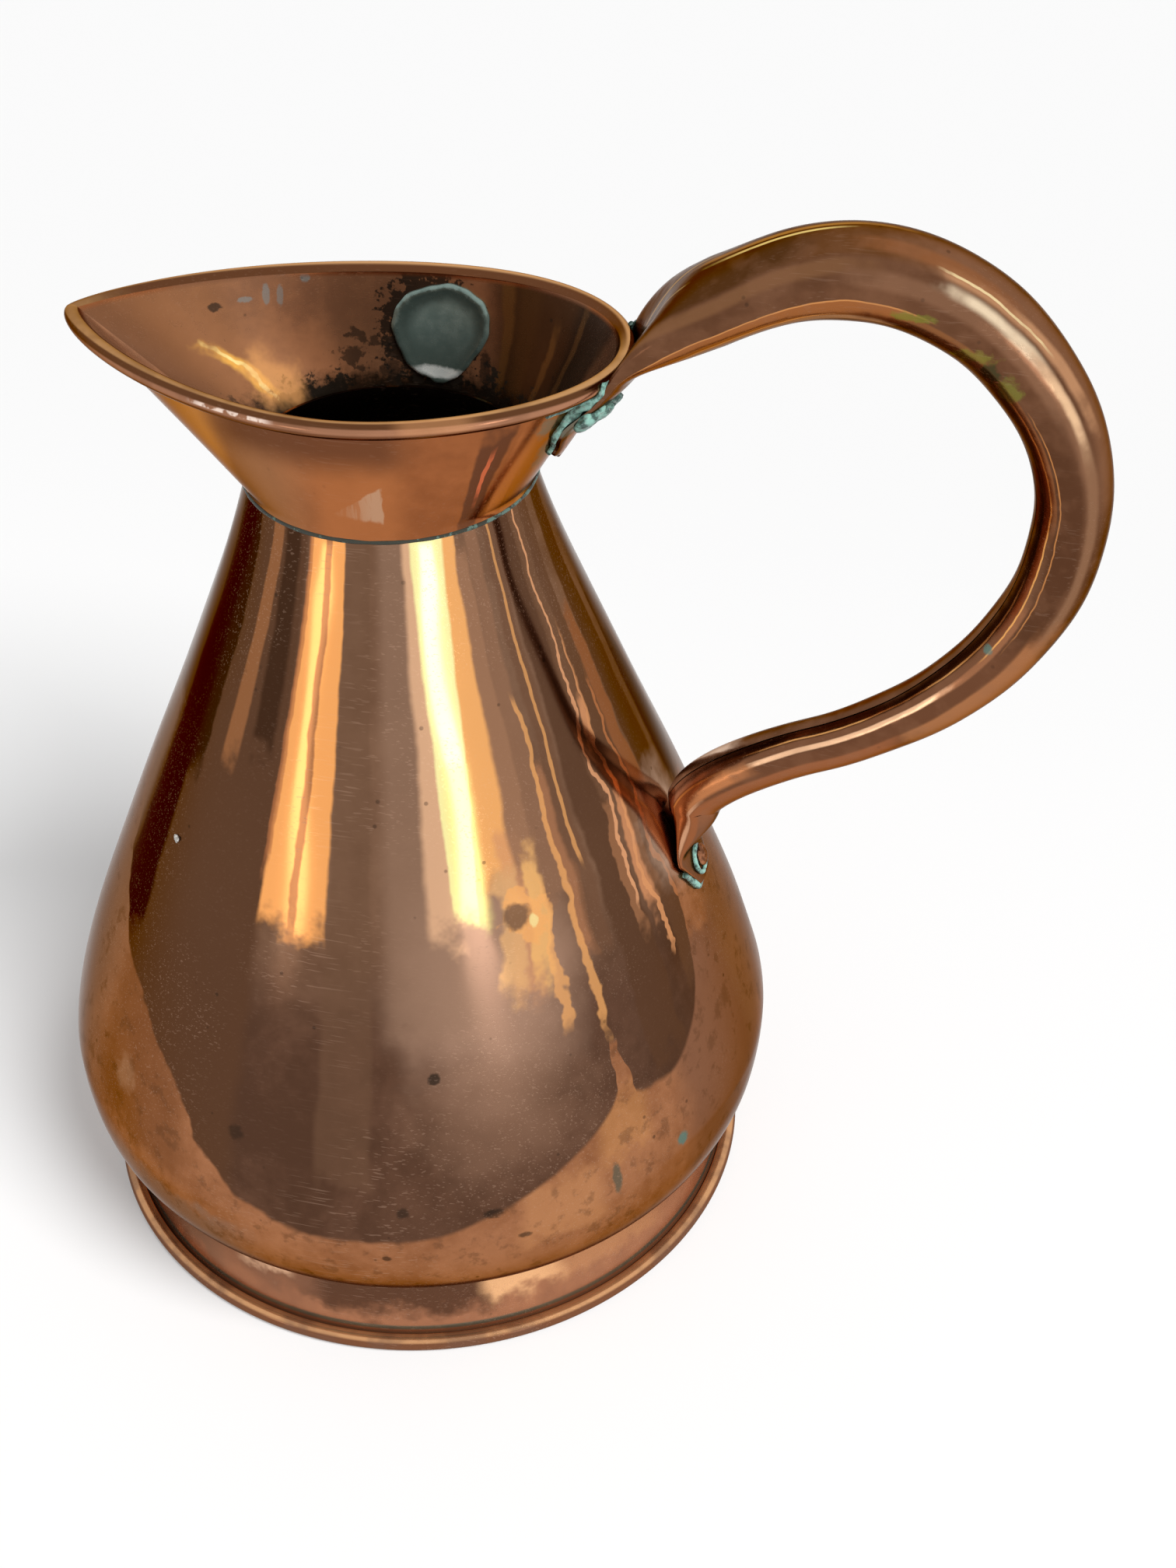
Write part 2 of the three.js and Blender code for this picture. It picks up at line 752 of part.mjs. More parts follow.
// A plain peg that cuts the rivet's hole.
function withRivetHole(geometry) {
  const reach = 12;
  const peg = onRivetAxis(
    turned(
      [
        flat(0, reach),
        flat(rivetShankRadius + seatGap, reach),
        flat(rivetShankRadius + seatGap, -reach),
        flat(0, -reach),
      ],
      rivetSides,
    ),
  );
  return geometryOf(solidOf(geometry).subtract(solidOf(peg)));
}

// The solder that fills the pocket between collar wall, rolled rim and the bend of the blade.
function handleTopSolderGeometry() {
  const bend = handlePath().curves[1];
  const wallFace = collarSheet / 2 + 2 * seatGap;
  const flatWall = (along) => {
    const place = onWall(back, along, wallFace);
    return flat(place.x, place.z);
  };
  const section = [flatWall(back.length - curlOuter - 3 * seatGap)];
  for (const share of [0.8, 0.6, 0.4]) {
    const run = bend.getTangentAt(share);
    const clear = bladeHalfDepth + 2 * seatGap;
    section.push(bend.getPointAt(share).add(flat(-run.y * clear, run.x * clear)));
  }
  section.push(flatWall(back.length - tongueDrop + solderTuck));
  const middle = section[0].clone().lerp(section[2], 0.5);
  const rings = [-1, -0.85, -0.5, -0.17, 0.17, 0.5, 0.85, 1].map((share) => {
    const across = share * topSolderHalfWidth;
    const sag = across ** 2 / 2 / (rimBackRadius + curlOuter);
    const size = Math.abs(share) === 1 ? 0.55 : 1;
    return section.map((p) => {
      const spot = middle.clone().lerp(p, size);
      return point(spot.x - sag, across, spot.y);
    });
  });
  return joinedRings(rings, [
    [0, 1, 2, 3],
    [0, 3, 4, 4],
  ]);
}

// A fillet that follows the tab's point.
function handleFootSolderGeometry() {
  const slope = tabPointLength / (tabHalfWidth - tabTipHalfWidth);
  const rings = [-1, -0.8, -0.5, -0.2, 0.2, 0.5, 0.8, 1].map((share) => {
    const across = share * tabHalfWidth * 0.8;
    const rise = Math.max(Math.abs(across) - tabTipHalfWidth, 0) * slope;
    const size = tabFillet * (1 - 0.5 * share * share);
    const near = tabLength - rise + 2 * seatGap * (1 + slope);
    const upper = belowRoot(near);
    const lower = belowRoot(near + size * 1.4);
    const sag = across ** 2 / 2 / upper.at.x;
    const spot = ({ at, out }, proud) => point(at.x + out.x * proud - sag, across, at.y + out.y * proud);
    return [
      spot(upper, seatGap),
      spot(upper, seatGap + size),
      spot(lower, seatGap * 2),
      spot(lower, seatGap),
    ];
  });
  return joinedRings(rings, [[0, 1, 2, 3]]);
}

// The seal lies on the inside of the collar wall and follows its curve.
function sealGeometry() {
  const away = (turn) => {
    const { place } = rimAt(turn);
    return Math.abs(Math.atan2(place.y, place.x) - degrees(sealTurn));
  };
  const marks = Array.from({ length: 721 }, (_, i) => (i / 720) * Math.PI);
  const middleTurn = marks.reduce((best, turn) => (away(turn) < away(best) ? turn : best));
  const probe = 0.02;
  const halfUp = (turn) => {
    const ruling = rulingAt(turn);
    return onWall(ruling, ruling.length / 2, 0);
  };
  const speed = halfUp(middleTurn + probe).distanceTo(halfUp(middleTurn - probe)) / (2 * probe);
  const place = (across, up, proud) => {
    const ruling = rulingAt(middleTurn + across / speed);
    return onWall(ruling, ruling.length * sealMiddle + up, -(collarSheet / 2 + seatGap + proud));
  };
  const sides = 20;
  const shares = [
    [1, 0],
    [1, sealEdge],
    [0.72, sealThickness],
  ];
  const rings = shares.map(([share, proud]) =>
    Array.from({ length: sides }, (_, i) => {
      const angle = (i / sides) * 2 * Math.PI;
      const ragged = 1 + 0.03 * Math.sin(3 * angle) + 0.025 * Math.sin(5 * angle + 1);
      const across = (sealWidth / 2) * share * ragged * Math.cos(angle);
      return place(across, (sealHeight / 2) * share * ragged * Math.sin(angle), proud);
    }),
  );
  const flatRing = rings.flat();
  flatRing.push(place(0, 0, 0), place(0, 0, sealThickness));
  const faces = [];
  for (let i = 0; i < sides; i += 1) {
    const next = (i + 1) % sides;
    faces.push(2 * sides + i, 2 * sides + next, 3 * sides + 1);
    faces.push(next, i, 3 * sides);
    for (const low of [0, sides]) {
      const high = low + sides;
      faces.push(low + i, low + next, high + next, low + i, high + next, high + i);
    }
  }
  const geometry = new THREE.BufferGeometry();
  const position = new Float32Array(flatRing.flatMap((p) => [p.x, p.y, p.z]));
  geometry.setAttribute("position", new THREE.BufferAttribute(position, 3));
  geometry.setIndex(faces);
  return facedOutward(geometry);
}

// Finishes
const finish = (color, roughness, metalness) =>
  new THREE.MeshStandardMaterial({ color, roughness, metalness });
const polishedCopper = finish(0xb8693f, 0.25, 1);
const handledCopper = finish(0xa9705a, 0.35, 1);
const dullCopper = finish(0x8a5a40, 0.5, 1);
const iron = finish(0x5a5652, 0.6, 1);
const agedSolder = finish(0x6f8f83, 0.7, 0.3);
const lead = finish(0x66706c, 0.45, 0.8);

const jug = new THREE.Group();
const pieces = [
  ["body_shell", withRivetHole(bodyGeometry()), polishedCopper],
  ["bottom_plate", bottomPlateGeometry(), dullCopper],
  ["base_solder", baseSolderGeometry(), agedSolder],
  ["foot_band", footBandGeometry(), polishedCopper],
  ["foot_wire", footWireGeometry(), iron],
  ["foot_solder", footSolderGeometry(), agedSolder],
  ["collar", collarGeometry(), polishedCopper],
  ["rim_wire", rimWireGeometry(), iron],
  ["neck_solder", neckSolderGeometry(), agedSolder],
  ["handle", withRivetHole(handleGeometry()), handledCopper],
  ["handle_top_solder", handleTopSolderGeometry(), agedSolder],
  ["handle_foot_solder", handleFootSolderGeometry(), agedSolder],
  ["handle_rivet", rivetGeometry(), handledCopper],
  ["rivet_rove", roveGeometry(), dullCopper],
  ["capacity_seal", sealGeometry(), lead],
];
for (const [name, geometry, material] of pieces) {
  const mesh = new THREE.Mesh(geometry, material);
  mesh.name = name;
  jug.add(mesh);
}

// The jug's axis stands behind the middle of its footprint, because the handle reaches out.
const bounds = new THREE.Box3().setFromObject(jug);
jug.position.set(-(bounds.min.x + bounds.max.x) / 2, -(bounds.min.y + bounds.max.y) / 2, -bounds.min.z);
const part = new THREE.Group();
part.add(jug);

export default part;
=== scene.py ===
import math

import bpy
import numpy as np
from mathutils import Matrix, Vector


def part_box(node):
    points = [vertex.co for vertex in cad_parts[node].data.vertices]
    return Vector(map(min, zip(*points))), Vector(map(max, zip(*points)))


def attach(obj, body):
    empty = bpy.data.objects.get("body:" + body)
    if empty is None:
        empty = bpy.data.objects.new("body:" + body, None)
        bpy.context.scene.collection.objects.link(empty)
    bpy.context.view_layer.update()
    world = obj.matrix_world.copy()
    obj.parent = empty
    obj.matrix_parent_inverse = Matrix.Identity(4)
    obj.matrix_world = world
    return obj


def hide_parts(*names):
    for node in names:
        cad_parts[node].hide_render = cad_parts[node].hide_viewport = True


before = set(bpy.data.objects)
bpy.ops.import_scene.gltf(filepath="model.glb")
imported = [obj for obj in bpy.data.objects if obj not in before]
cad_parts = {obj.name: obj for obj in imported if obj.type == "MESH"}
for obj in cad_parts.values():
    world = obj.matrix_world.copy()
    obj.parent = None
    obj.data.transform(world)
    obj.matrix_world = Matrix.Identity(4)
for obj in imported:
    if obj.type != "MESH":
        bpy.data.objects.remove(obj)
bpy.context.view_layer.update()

# Body shell
# One sheet of copper raised to a pear: tucked under at the foot, widest low down, and drawn in to
# the neck. It was planished by hand, so its wall is a little uneven, and use has dented it.
mm = 0.001
body_low, body_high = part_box("body_shell")
axis_x = (body_low.x + body_high.x) / 2 / mm
body_sheet = 1.0
body_hammering = 0.16
belly_radius = 129.5
belly_height = 65.8
tuck_radius = 112
tuck_height = 32.8
body_edge_height = 21.5
neck_radius = 45.6
neck_edge_height = 292.5
neck_stub_height = 295.3
round_steps = 300


def curve(a, b, c, d, count):
    """Points of a cubic curve through flat control points, in millimetres."""
    t = np.linspace(0, 1, count + 1)[:, None]
    a, b, c, d = (np.array(p, float) for p in (a, b, c, d))
    return (1 - t) ** 3 * a + 3 * t * (1 - t) ** 2 * b + 3 * t * t * (1 - t) * c + t ** 3 * d


def moved_aside(line, distance):
    """A flat line moved to the left of its run."""
    run = np.gradient(line, axis=0)
    run /= np.linalg.norm(run, axis=1)[:, None]
    return line + distance * np.stack([-run[:, 1], run[:, 0]], 1)


def smooth_step(low, high, value):
    share = np.clip((value - low) / (high - low), 0, 1)
    return share * share * (3 - 2 * share)


def linked(name, data):
    """A new object of the given data, linked to the scene."""
    made = bpy.data.objects.new(name, data)
    bpy.context.scene.collection.objects.link(made)
    return made


def new_piece(name, points, faces, marks=None, crease=40):
    """A mesh object from points in millimetres round the jug's axis, its faces turned outwards."""
    points = np.asarray(points, float).reshape(-1, 3)
    a, b, c, d = np.moveaxis(points[np.array([(*f[:3], f[-1]) for f in faces])], 1, 0)
    if (a * np.cross(b, c) + a * np.cross(c, d)).sum() < 0:
        faces = [tuple(reversed(f)) for f in faces]
    mesh = bpy.data.meshes.new(name)
    mesh.from_pydata(((points + (axis_x, 0, 0)) * mm).tolist(), [], faces)
    for mark, values in (marks or {}).items():
        values = np.asarray(values, np.float32).ravel()
        mesh.attributes.new(mark, "FLOAT", "POINT").data.foreach_set("value", values)
    mesh.validate()
    mesh.shade_smooth()
    mesh.set_sharp_from_angle(angle=math.radians(crease))
    return linked(name, mesh)


def ring_faces(rows, width, closed=True):
    """Quads that join rows of points, each row a closed ring."""
    here = np.arange(rows if closed else rows - 1)[:, None] * width
    there = (here + width) % (rows * width)
    place = np.arange(width)[None, :]
    after = (place + 1) % width
    quads = np.stack([here + place, here + after, there + after, there + place], -1)
    return [tuple(q) for q in quads.reshape(-1, 4).tolist()]


def ring_piece(name, rings, marks=None):
    return new_piece(name, rings, ring_faces(*rings.shape[:2]), marks)


def turned_rings(profile, steps=round_steps):
    """A closed profile turned round the jug's axis."""
    angle = np.arange(steps)[:, None] / steps * 2 * np.pi
    level = np.tile(profile[:, 1], (steps, 1))
    return np.stack([np.cos(angle) * profile[:, 0], np.sin(angle) * profile[:, 0], level], -1)


def pushed(rings, distance):
    """Rings moved straight out from the jug's axis."""
    moved = rings.copy()
    moved[..., :2] *= (1 + distance / np.hypot(rings[..., 0], rings[..., 1]))[..., None]
    return moved


hammer_waves = [
    # strength, waves round the jug, height of one radian, start
    (1, 3, 47, 1.1), (0.8, 5, -31, 0.4), (0.6, 9, 23, 2.0),
    (0.4, 14, -13, 0), (0.3, 4, 9.5, 0.7), (0.22, 19, 17, 1.9),
]


def hammered(rings, depth):
    """Rings pushed in and out a little, as planishing leaves sheet metal."""
    turn = np.arctan2(rings[..., 1], rings[..., 0])
    waves = (size * np.sin(n * turn + rings[..., 2] / tall + start) for size, n, tall, start in hammer_waves)
    return pushed(rings, depth * sum(waves))


body_dents = [
    # turn in degrees, height, half width, depth
    (-50.9, 173.5, 5.5, 0.9), (-133, 76, 17, 1.6), (-118, 88, 13, 0.7), (-38, 112, 10, 0.5),
    (-64, 118, 15, 0.35), (24, 84, 12, 0.8), (96, 130, 14, 0.9), (150, 96, 16, 0.8), (-16, 128, 9, 0.5),
]


def dented(rings):
    turn = np.arctan2(rings[..., 1], rings[..., 0])
    reach = np.hypot(rings[..., 0], rings[..., 1])
    push = np.zeros_like(reach)
    for at, height, size, depth in body_dents:
        across = (np.angle(np.exp(1j * (turn - math.radians(at))))) * reach
        far = (across ** 2 + (rings[..., 2] - height) ** 2) / size ** 2
        push += depth * np.exp(-far)
    return pushed(rings, -push)


belly = (belly_radius, belly_height)
underside = curve((tuck_radius, tuck_height), (124.7, tuck_height), (belly_radius, 48.1), belly, 30)
flank_bend = ((belly_radius, 98.3), (54.1, 250.5), (neck_radius, neck_edge_height))
flank = curve(belly, *flank_bend, 120)
body_wall = np.concatenate([underside, flank[1:]])
body_inner = moved_aside(body_wall, body_sheet)[::2]
body_inner[0] = (tuck_radius - body_sheet, tuck_height + body_sheet)
body_inner[-1, 0] = neck_radius - body_sheet
body_foot = [(tuck_radius, body_edge_height), (tuck_radius, (body_edge_height + tuck_height) / 2)]
body_top = [(neck_radius, neck_stub_height), (neck_radius - body_sheet, neck_stub_height)]
body_edge = [(tuck_radius - body_sheet, body_edge_height)]
body_rings = turned_rings(np.concatenate([body_foot, body_wall, body_top, body_inner[::-1], body_edge]))
calm = smooth_step(tuck_height, tuck_height + 18, body_rings[..., 2])
calm = calm * (1 - smooth_step(neck_edge_height - 22, neck_edge_height - 4, body_rings[..., 2]))
body_rings = body_rings + (dented(hammered(body_rings, body_hammering)) - body_rings) * calm[..., None]
widest = (belly_radius - 0.05) / np.hypot(body_rings[..., 0], body_rings[..., 1])
body_rings[..., :2] *= np.minimum(1, widest)[..., None]
body_side = np.zeros(body_rings.shape[:2])
body_side[:, len(body_wall) + 3 :] = 1
body = ring_piece("pear_body", body_rings, {"inside": body_side})


class NodeBench:
    """Adds nodes to one tree, wires them up, and hands back the sockets they give."""

    def __init__(self, tree):
        self.tree = tree

    def put(self, kind, inputs=None, **settings):
        node = self.tree.nodes.new(kind)
        for name, value in settings.items():
            setattr(node, name, value)
        for key, value in (inputs or {}).items():
            self.feed(node.inputs[key], value)
        return node

    def feed(self, socket, value):
        """Links a socket to another, or sets its value; a colour has three parts."""
        if isinstance(value, bpy.types.NodeSocket):
            self.tree.links.new(value, socket)
        else:
            socket.default_value = (*value, 1) if socket.type == "RGBA" else value

    def maths(self, operation, a, b=0.0, c=0.0):
        return self.put("ShaderNodeMath", {0: a, 1: b, 2: c}, operation=operation).outputs[0]

    def times(self, a, b, *others):
        product = self.maths("MULTIPLY", a, b)
        return self.times(product, *others) if others else product

    def plus(self, a, b):
        return self.maths("ADD", a, b)

    def less(self, a, b):
        return self.maths("SUBTRACT", a, b)

    def most(self, a, b):
        return self.maths("MAXIMUM", a, b)

    def scaled(self, value, factor, start):
        return self.maths("MULTIPLY_ADD", value, factor, start)

    def apart(self, value, middle):
        """How far a value is from a middle, either way."""
        return self.maths("ABSOLUTE", self.less(value, middle))

    def ease(self, value, low, high, start=0.0, end=1.0):
        inputs = {"Value": value, "From Min": low, "From Max": high, "To Min": start, "To Max": end}
        return self.put("ShaderNodeMapRange", inputs, interpolation_type="SMOOTHSTEP").outputs["Result"]

    def fade(self, value, low, high):
        return self.ease(value, low, high, 1.0, 0.0)

    def mix(self, share, a, b):
        return self.put("ShaderNodeMix", {0: share, 6: a, 7: b}, data_type="RGBA").outputs[2]

    def shade(self, value, low, high, a, b):
        """A colour that goes from a to b while a value rises."""
        return self.mix(self.ease(value, low, high), a, b)

    def vector(self, operation, a, b=(0.0, 0.0, 0.0), wanted="Vector"):
        return self.put("ShaderNodeVectorMath", {0: a, 1: b}, operation=operation).outputs[wanted]

    def noise(self, place, scale, detail=2.0, roughness=0.5, distortion=0.0):
        inputs = {"Vector": place, "Scale": scale, "Detail": detail}
        inputs |= {"Roughness": roughness, "Distortion": distortion}
        return self.put("ShaderNodeTexNoise", inputs).outputs["Fac"]

    def swing(self, *noise):
        """Noise that swings either way from zero."""
        return self.less(self.noise(*noise), 0.5)

    def mark(self, name):
        return self.put("ShaderNodeAttribute", attribute_name=name).outputs["Fac"]

    def group(self, tree, *values):
        return self.put("ShaderNodeGroup", dict(enumerate(values)), node_tree=tree).outputs


def node_group(name, kind, inputs, outputs):
    """An empty node group with named sockets, its bench and its two end nodes."""
    tree = bpy.data.node_groups.new(name, kind + "NodeTree")
    for way, sockets in (("INPUT", inputs), ("OUTPUT", outputs)):
        for socket_kind, names in sockets.items():
            for socket in names.split(", "):
                tree.interface.new_socket(socket, in_out=way, socket_type="NodeSocket" + socket_kind)
    bench = NodeBench(tree)
    return tree, bench, bench.put("NodeGroupInput").outputs, bench.put("NodeGroupOutput").inputs


# Where a point lies on the jug: degrees round its axis, height and reach in millimetres.
places = {"Float": "Turn, Height, Reach", "Vector": "Place"}
jug_place, bench, _, out = node_group("jug_place", "Shader", {}, places)
here = bench.put("ShaderNodeTexCoord").outputs["Object"]
here = bench.vector("MULTIPLY", here, (1 / mm, 1 / mm, 1 / mm))
here = bench.vector("SUBTRACT", here, (axis_x, 0, 0))
parts = bench.put("ShaderNodeSeparateXYZ", {0: here}).outputs
bench.feed(out["Turn"], bench.times(bench.maths("ARCTAN2", parts[1], parts[0]), 180 / math.pi))
bench.feed(out["Height"], parts[2])
square = bench.scaled(parts[1], parts[1], bench.times(parts[0], parts[0]))
bench.feed(out["Reach"], bench.maths("SQRT", square))
bench.feed(out["Place"], here)

# A wavering upright streak, used to paint reflections, highlights and shade, as windows and the room show in
# a polished, drawn-in wall.
streak_shape = "Middle, Half Width, Spread, Slant, Lowest, Highest, Waver, Softness, Fade"
streak_inputs = {"Float": "Turn, Height, Sway, Raggedness, " + streak_shape}
streak, bench, given, out = node_group("streak", "Shader", streak_inputs, {"Float": "Mask"})
rise = bench.times(bench.less(given["Height"], given["Lowest"]), 0.01)
middle = bench.scaled(given["Slant"], rise, given["Middle"])
half = bench.most(bench.scaled(given["Spread"], rise, given["Half Width"]), 0.3)
turned = bench.scaled(given["Sway"], given["Waver"], given["Turn"])
away = bench.maths("DIVIDE", bench.apart(turned, middle), half)
across = bench.fade(away, bench.less(1, given["Softness"]), bench.plus(1, given["Softness"]))
upright = bench.scaled(given["Raggedness"], 26, given["Height"])
before = bench.times(given["Fade"], -1)
lower_end = bench.ease(bench.less(upright, given["Lowest"]), before, given["Fade"])
upper_end = bench.ease(bench.less(given["Highest"], upright), before, given["Fade"])
bench.feed(out["Mask"], bench.times(across, bench.times(lower_end, upper_end)))

# A ragged patch round a point: stains, spots of corrosion and smears, and painted highlights and glows too.
patch_inputs = {"Vector": "Place, Centre, Size", "Float": "Ragged, Grain, Softness"}
patch, bench, given, out = node_group("patch", "Shader", patch_inputs, {"Float": "Mask"})
off = bench.vector("DIVIDE", bench.vector("SUBTRACT", given["Place"], given["Centre"]), given["Size"])
off = bench.vector("LENGTH", off, wanted="Value")
off = bench.scaled(bench.swing(given["Place"], given["Grain"], 3, 0.6), given["Ragged"], off)
mask = bench.fade(off, bench.less(1, given["Softness"]), bench.plus(1, given["Softness"]))
bench.feed(out["Mask"], mask)

# Fine scratches of years of polishing, in four directions.
scratch_inputs = {"Vector": "Place", "Float": "Fineness"}
scratches, bench, given, out = node_group("scratches", "Shader", scratch_inputs, {"Float": "Lines, Height"})
lines = None
for turn in ((0.3, 0.9, 0.2), (1.2, -0.5, 0.8), (-0.7, 0.2, 1.9), (0.5, -1.3, -0.6)):
    mapping = {"Vector": given["Place"], "Rotation": turn, "Scale": (0.045, 1.5, 1.3)}
    turned = bench.put("ShaderNodeMapping", mapping).outputs[0]
    line = bench.ease(bench.noise(turned, given["Fineness"], 1, 0.5), 0.68, 0.73)
    lines = line if lines is None else bench.most(lines, line)
lines = bench.times(lines, bench.ease(bench.noise(given["Place"], 0.02, 2), 0.4, 0.6, 0.15, 1))
bench.feed(out["Lines"], lines)
bench.feed(out["Height"], bench.times(lines, -1))

# Cloudy tarnish, from coarse to fine, and rare specks.
tarnish_outputs = {"Float": "Clouds, Specks"}
tarnish, bench, given, out = node_group("tarnish", "Shader", {"Vector": "Place"}, tarnish_outputs)
coarse = bench.noise(given["Place"], 0.022, 4, 0.6, 0.6)
bench.feed(out["Clouds"], bench.scaled(bench.swing(given["Place"], 0.16, 3, 0.6), 0.35, coarse))
speck = bench.put("ShaderNodeTexVoronoi", {"Vector": given["Place"], "Scale": 0.11}).outputs["Distance"]
rare = bench.ease(bench.noise(given["Place"], 0.05, 1), 0.5, 0.6)
bench.feed(out["Specks"], bench.times(bench.fade(speck, 0.05, 0.1), rare))

# Tones of the copper; the gold, orange, rose and pale ones, and the dark and black ones, mostly paint the
# reflections and highlights that the polished copper shows.
copper_black = (0.032, 0.013, 0.006)
copper_dark = (0.105, 0.047, 0.024)
copper_brown = (0.205, 0.108, 0.064)
copper_rose = (0.44, 0.255, 0.17)
copper_warm = (0.3, 0.112, 0.046)
copper_orange = (0.96, 0.45, 0.15)
copper_gold = (1.0, 0.9, 0.4)
copper_pale = (0.27, 0.165, 0.115)
verdigris_green = (0.12, 0.21, 0.175)
old_black = (0.02, 0.015, 0.011)


def new_material(name):
    """A material, its bench, its Principled inputs and where the shaded point lies on the jug."""
    material = bpy.data.materials.new(name)
    material.use_nodes = True
    material.node_tree.nodes.clear()
    bench = NodeBench(material.node_tree)
    shader = bench.put("ShaderNodeBsdfPrincipled")
    bench.put("ShaderNodeOutputMaterial", {"Surface": shader.outputs["BSDF"]})
    return material, bench, shader.inputs, bench.group(jug_place)


def bump(bench, height, strength, distance, **more):
    inputs = {"Height": height, "Strength": strength, "Distance": distance} | more
    return bench.put("ShaderNodeBump", inputs).outputs["Normal"]


def finish(bench, shader, colour, metallic, roughness):
    bench.feed(shader["Base Color"], colour)
    bench.feed(shader["Metallic"], metallic)
    bench.feed(shader["Roughness"], roughness)


def copper_surface(bench, shader, colour, roughness, place, scratch_strength=0.1, metallic=1.0, paler=0.45):
    """Wires a copper colour and roughness, with polishing scratches in the surface."""
    marks = bench.group(scratches, place, 1)
    lighter = bench.mix(0.3, colour, (0.75, 0.48, 0.34))
    colour = bench.mix(bench.times(marks["Lines"], paler), colour, lighter)
    finish(bench, shader, colour, metallic, bench.scaled(marks["Lines"], 0.1, roughness))
    bench.feed(shader["Specular Tint"], (0.48, 0.39, 0.34))
    bench.feed(shader["Normal"], bump(bench, marks["Height"], scratch_strength, 0.00005))


def streaks_on(bench, colour, turn, height, place, rows, fade=5.0):
    """Lays streaks of other tones over a colour, one after the other; they paint reflections, highlights and
    shade.
    """
    given = (turn, height, bench.swing(place, 0.032, 4, 0.6), bench.swing(place, 0.09, 3, 0.6))
    for tone, strength, middle, half, lowest, highest, waver, softness, *lean in rows:
        shape = (middle, half, *(lean or (0, 0)), lowest, highest, waver, softness)
        mask = bench.group(streak, *given, *shape, fade)["Mask"]
        colour = bench.mix(bench.times(mask, strength), colour, tone)
    return colour


def patches_on(bench, colour, place, rows):
    """Lays ragged patches of other tones over a colour."""
    for tone, strength, *shape in rows:
        mask = bench.group(patch, place, *shape)["Mask"]
        colour = bench.mix(bench.times(mask, strength), colour, tone)
    return colour


# The body's colour paints the reflections of the room: a dark upper part, a warm lower belt that mirrors the
# floor, upright bright and dark streaks from windows, and glints on dents.
body_copper, bench, shader, where = new_material("planished_copper")
turn, height, place = where["Turn"], where["Height"], where["Place"]
clouds = bench.group(tarnish, place)
wander = bench.swing(place, 0.035, 3, 0.6)
# Where the dark painted reflection on the upper body meets the warm painted reflection of the floor below.
reflection_edge = bench.put("ShaderNodeFloatCurve")
edge_points = [
    # turn in degrees, height in millimetres
    (-180, 196), (-162, 192), (-150, 157), (-143, 143), (-137, 133), (-130, 125), (-124, 116),
    (-118, 105), (-113, 95), (-108, 85), (-103, 77), (-96, 71), (-85, 69), (-72, 71), (-64, 77),
    (-57, 83), (-50, 90), (-45, 96), (-40.8, 104), (-38.6, 124), (-36.4, 102), (-29, 101), (-22, 107),
    (-15, 125), (-10, 152), (0, 167), (22, 166), (40, 140), (62, 108), (90, 92), (112, 98), (135, 132),
    (152, 176), (180, 196),
]
line = reflection_edge.mapping.curves[0]
for at, level in edge_points[1:-1]:
    line.points.new((at + 180) / 360, level / 300)
line.points[0].location = (0, edge_points[0][1] / 300)
line.points[len(edge_points) - 1].location = (1, edge_points[-1][1] / 300)
for point in line.points:
    point.handle_type = "AUTO_CLAMPED"
reflection_edge.mapping.update()
round_range = {"Value": bench.scaled(wander, 6, turn), "From Min": -180, "From Max": 180}
bench.feed(reflection_edge.inputs["Value"], bench.put("ShaderNodeMapRange", round_range).outputs["Result"])
edge_height = bench.times(reflection_edge.outputs[0], 300)
above_reflection_edge = bench.ease(bench.scaled(wander, 8, bench.less(height, edge_height)), -1.2, 1.2)

cloudy = bench.ease(clouds["Clouds"], 0.3, 0.7)
# Below the line: the warm painted reflection of the floor, with pale, orange and brown painted reflections of
# windows and room.
below_colour = bench.mix(cloudy, (0.41, 0.172, 0.08), (0.28, 0.108, 0.046))
below_reflections = [
    # tone, strength, middle, half width, lowest, highest, waver, softness, then spread and slant
    (copper_pale, 0.8, -155, 13, 40, 220, 6, 0.9),
    ((0.2, 0.076, 0.032), 0.7, -126, 12, 74, 160, 8, 0.3),
    (copper_pale, 0.7, -118, 14, 36, 62, 8, 0.4),
    ((0.5, 0.22, 0.095), 0.8, -52, 7, 60, 86, 6, 0.25, -3, 0),
    (copper_orange, 0.2, -40, 5, 82, 105, 4, 0.3),
    ((0.21, 0.095, 0.055), 0.8, -14, 13, 50, 134, 6, 0.3),
    ((0.28, 0.13, 0.068), 0.7, 4, 9, 80, 175, 6, 0.3),
    (copper_pale, 0.6, 24, 8, 70, 175, 6, 0.4),
    (copper_brown, 0.6, 58, 14, 40, 120, 8, 0.4),
    (copper_orange, 0.3, 98, 12, 40, 100, 8, 0.4),
    (copper_brown, 0.6, 140, 14, 40, 150, 8, 0.4),
]
below_colour = streaks_on(bench, below_colour, turn, height, place, below_reflections)
mottled = bench.ease(bench.noise(place, 0.14, 4, 0.65), 0.52, 0.66)
below_colour = bench.mix(bench.times(mottled, 0.4), below_colour, copper_dark)
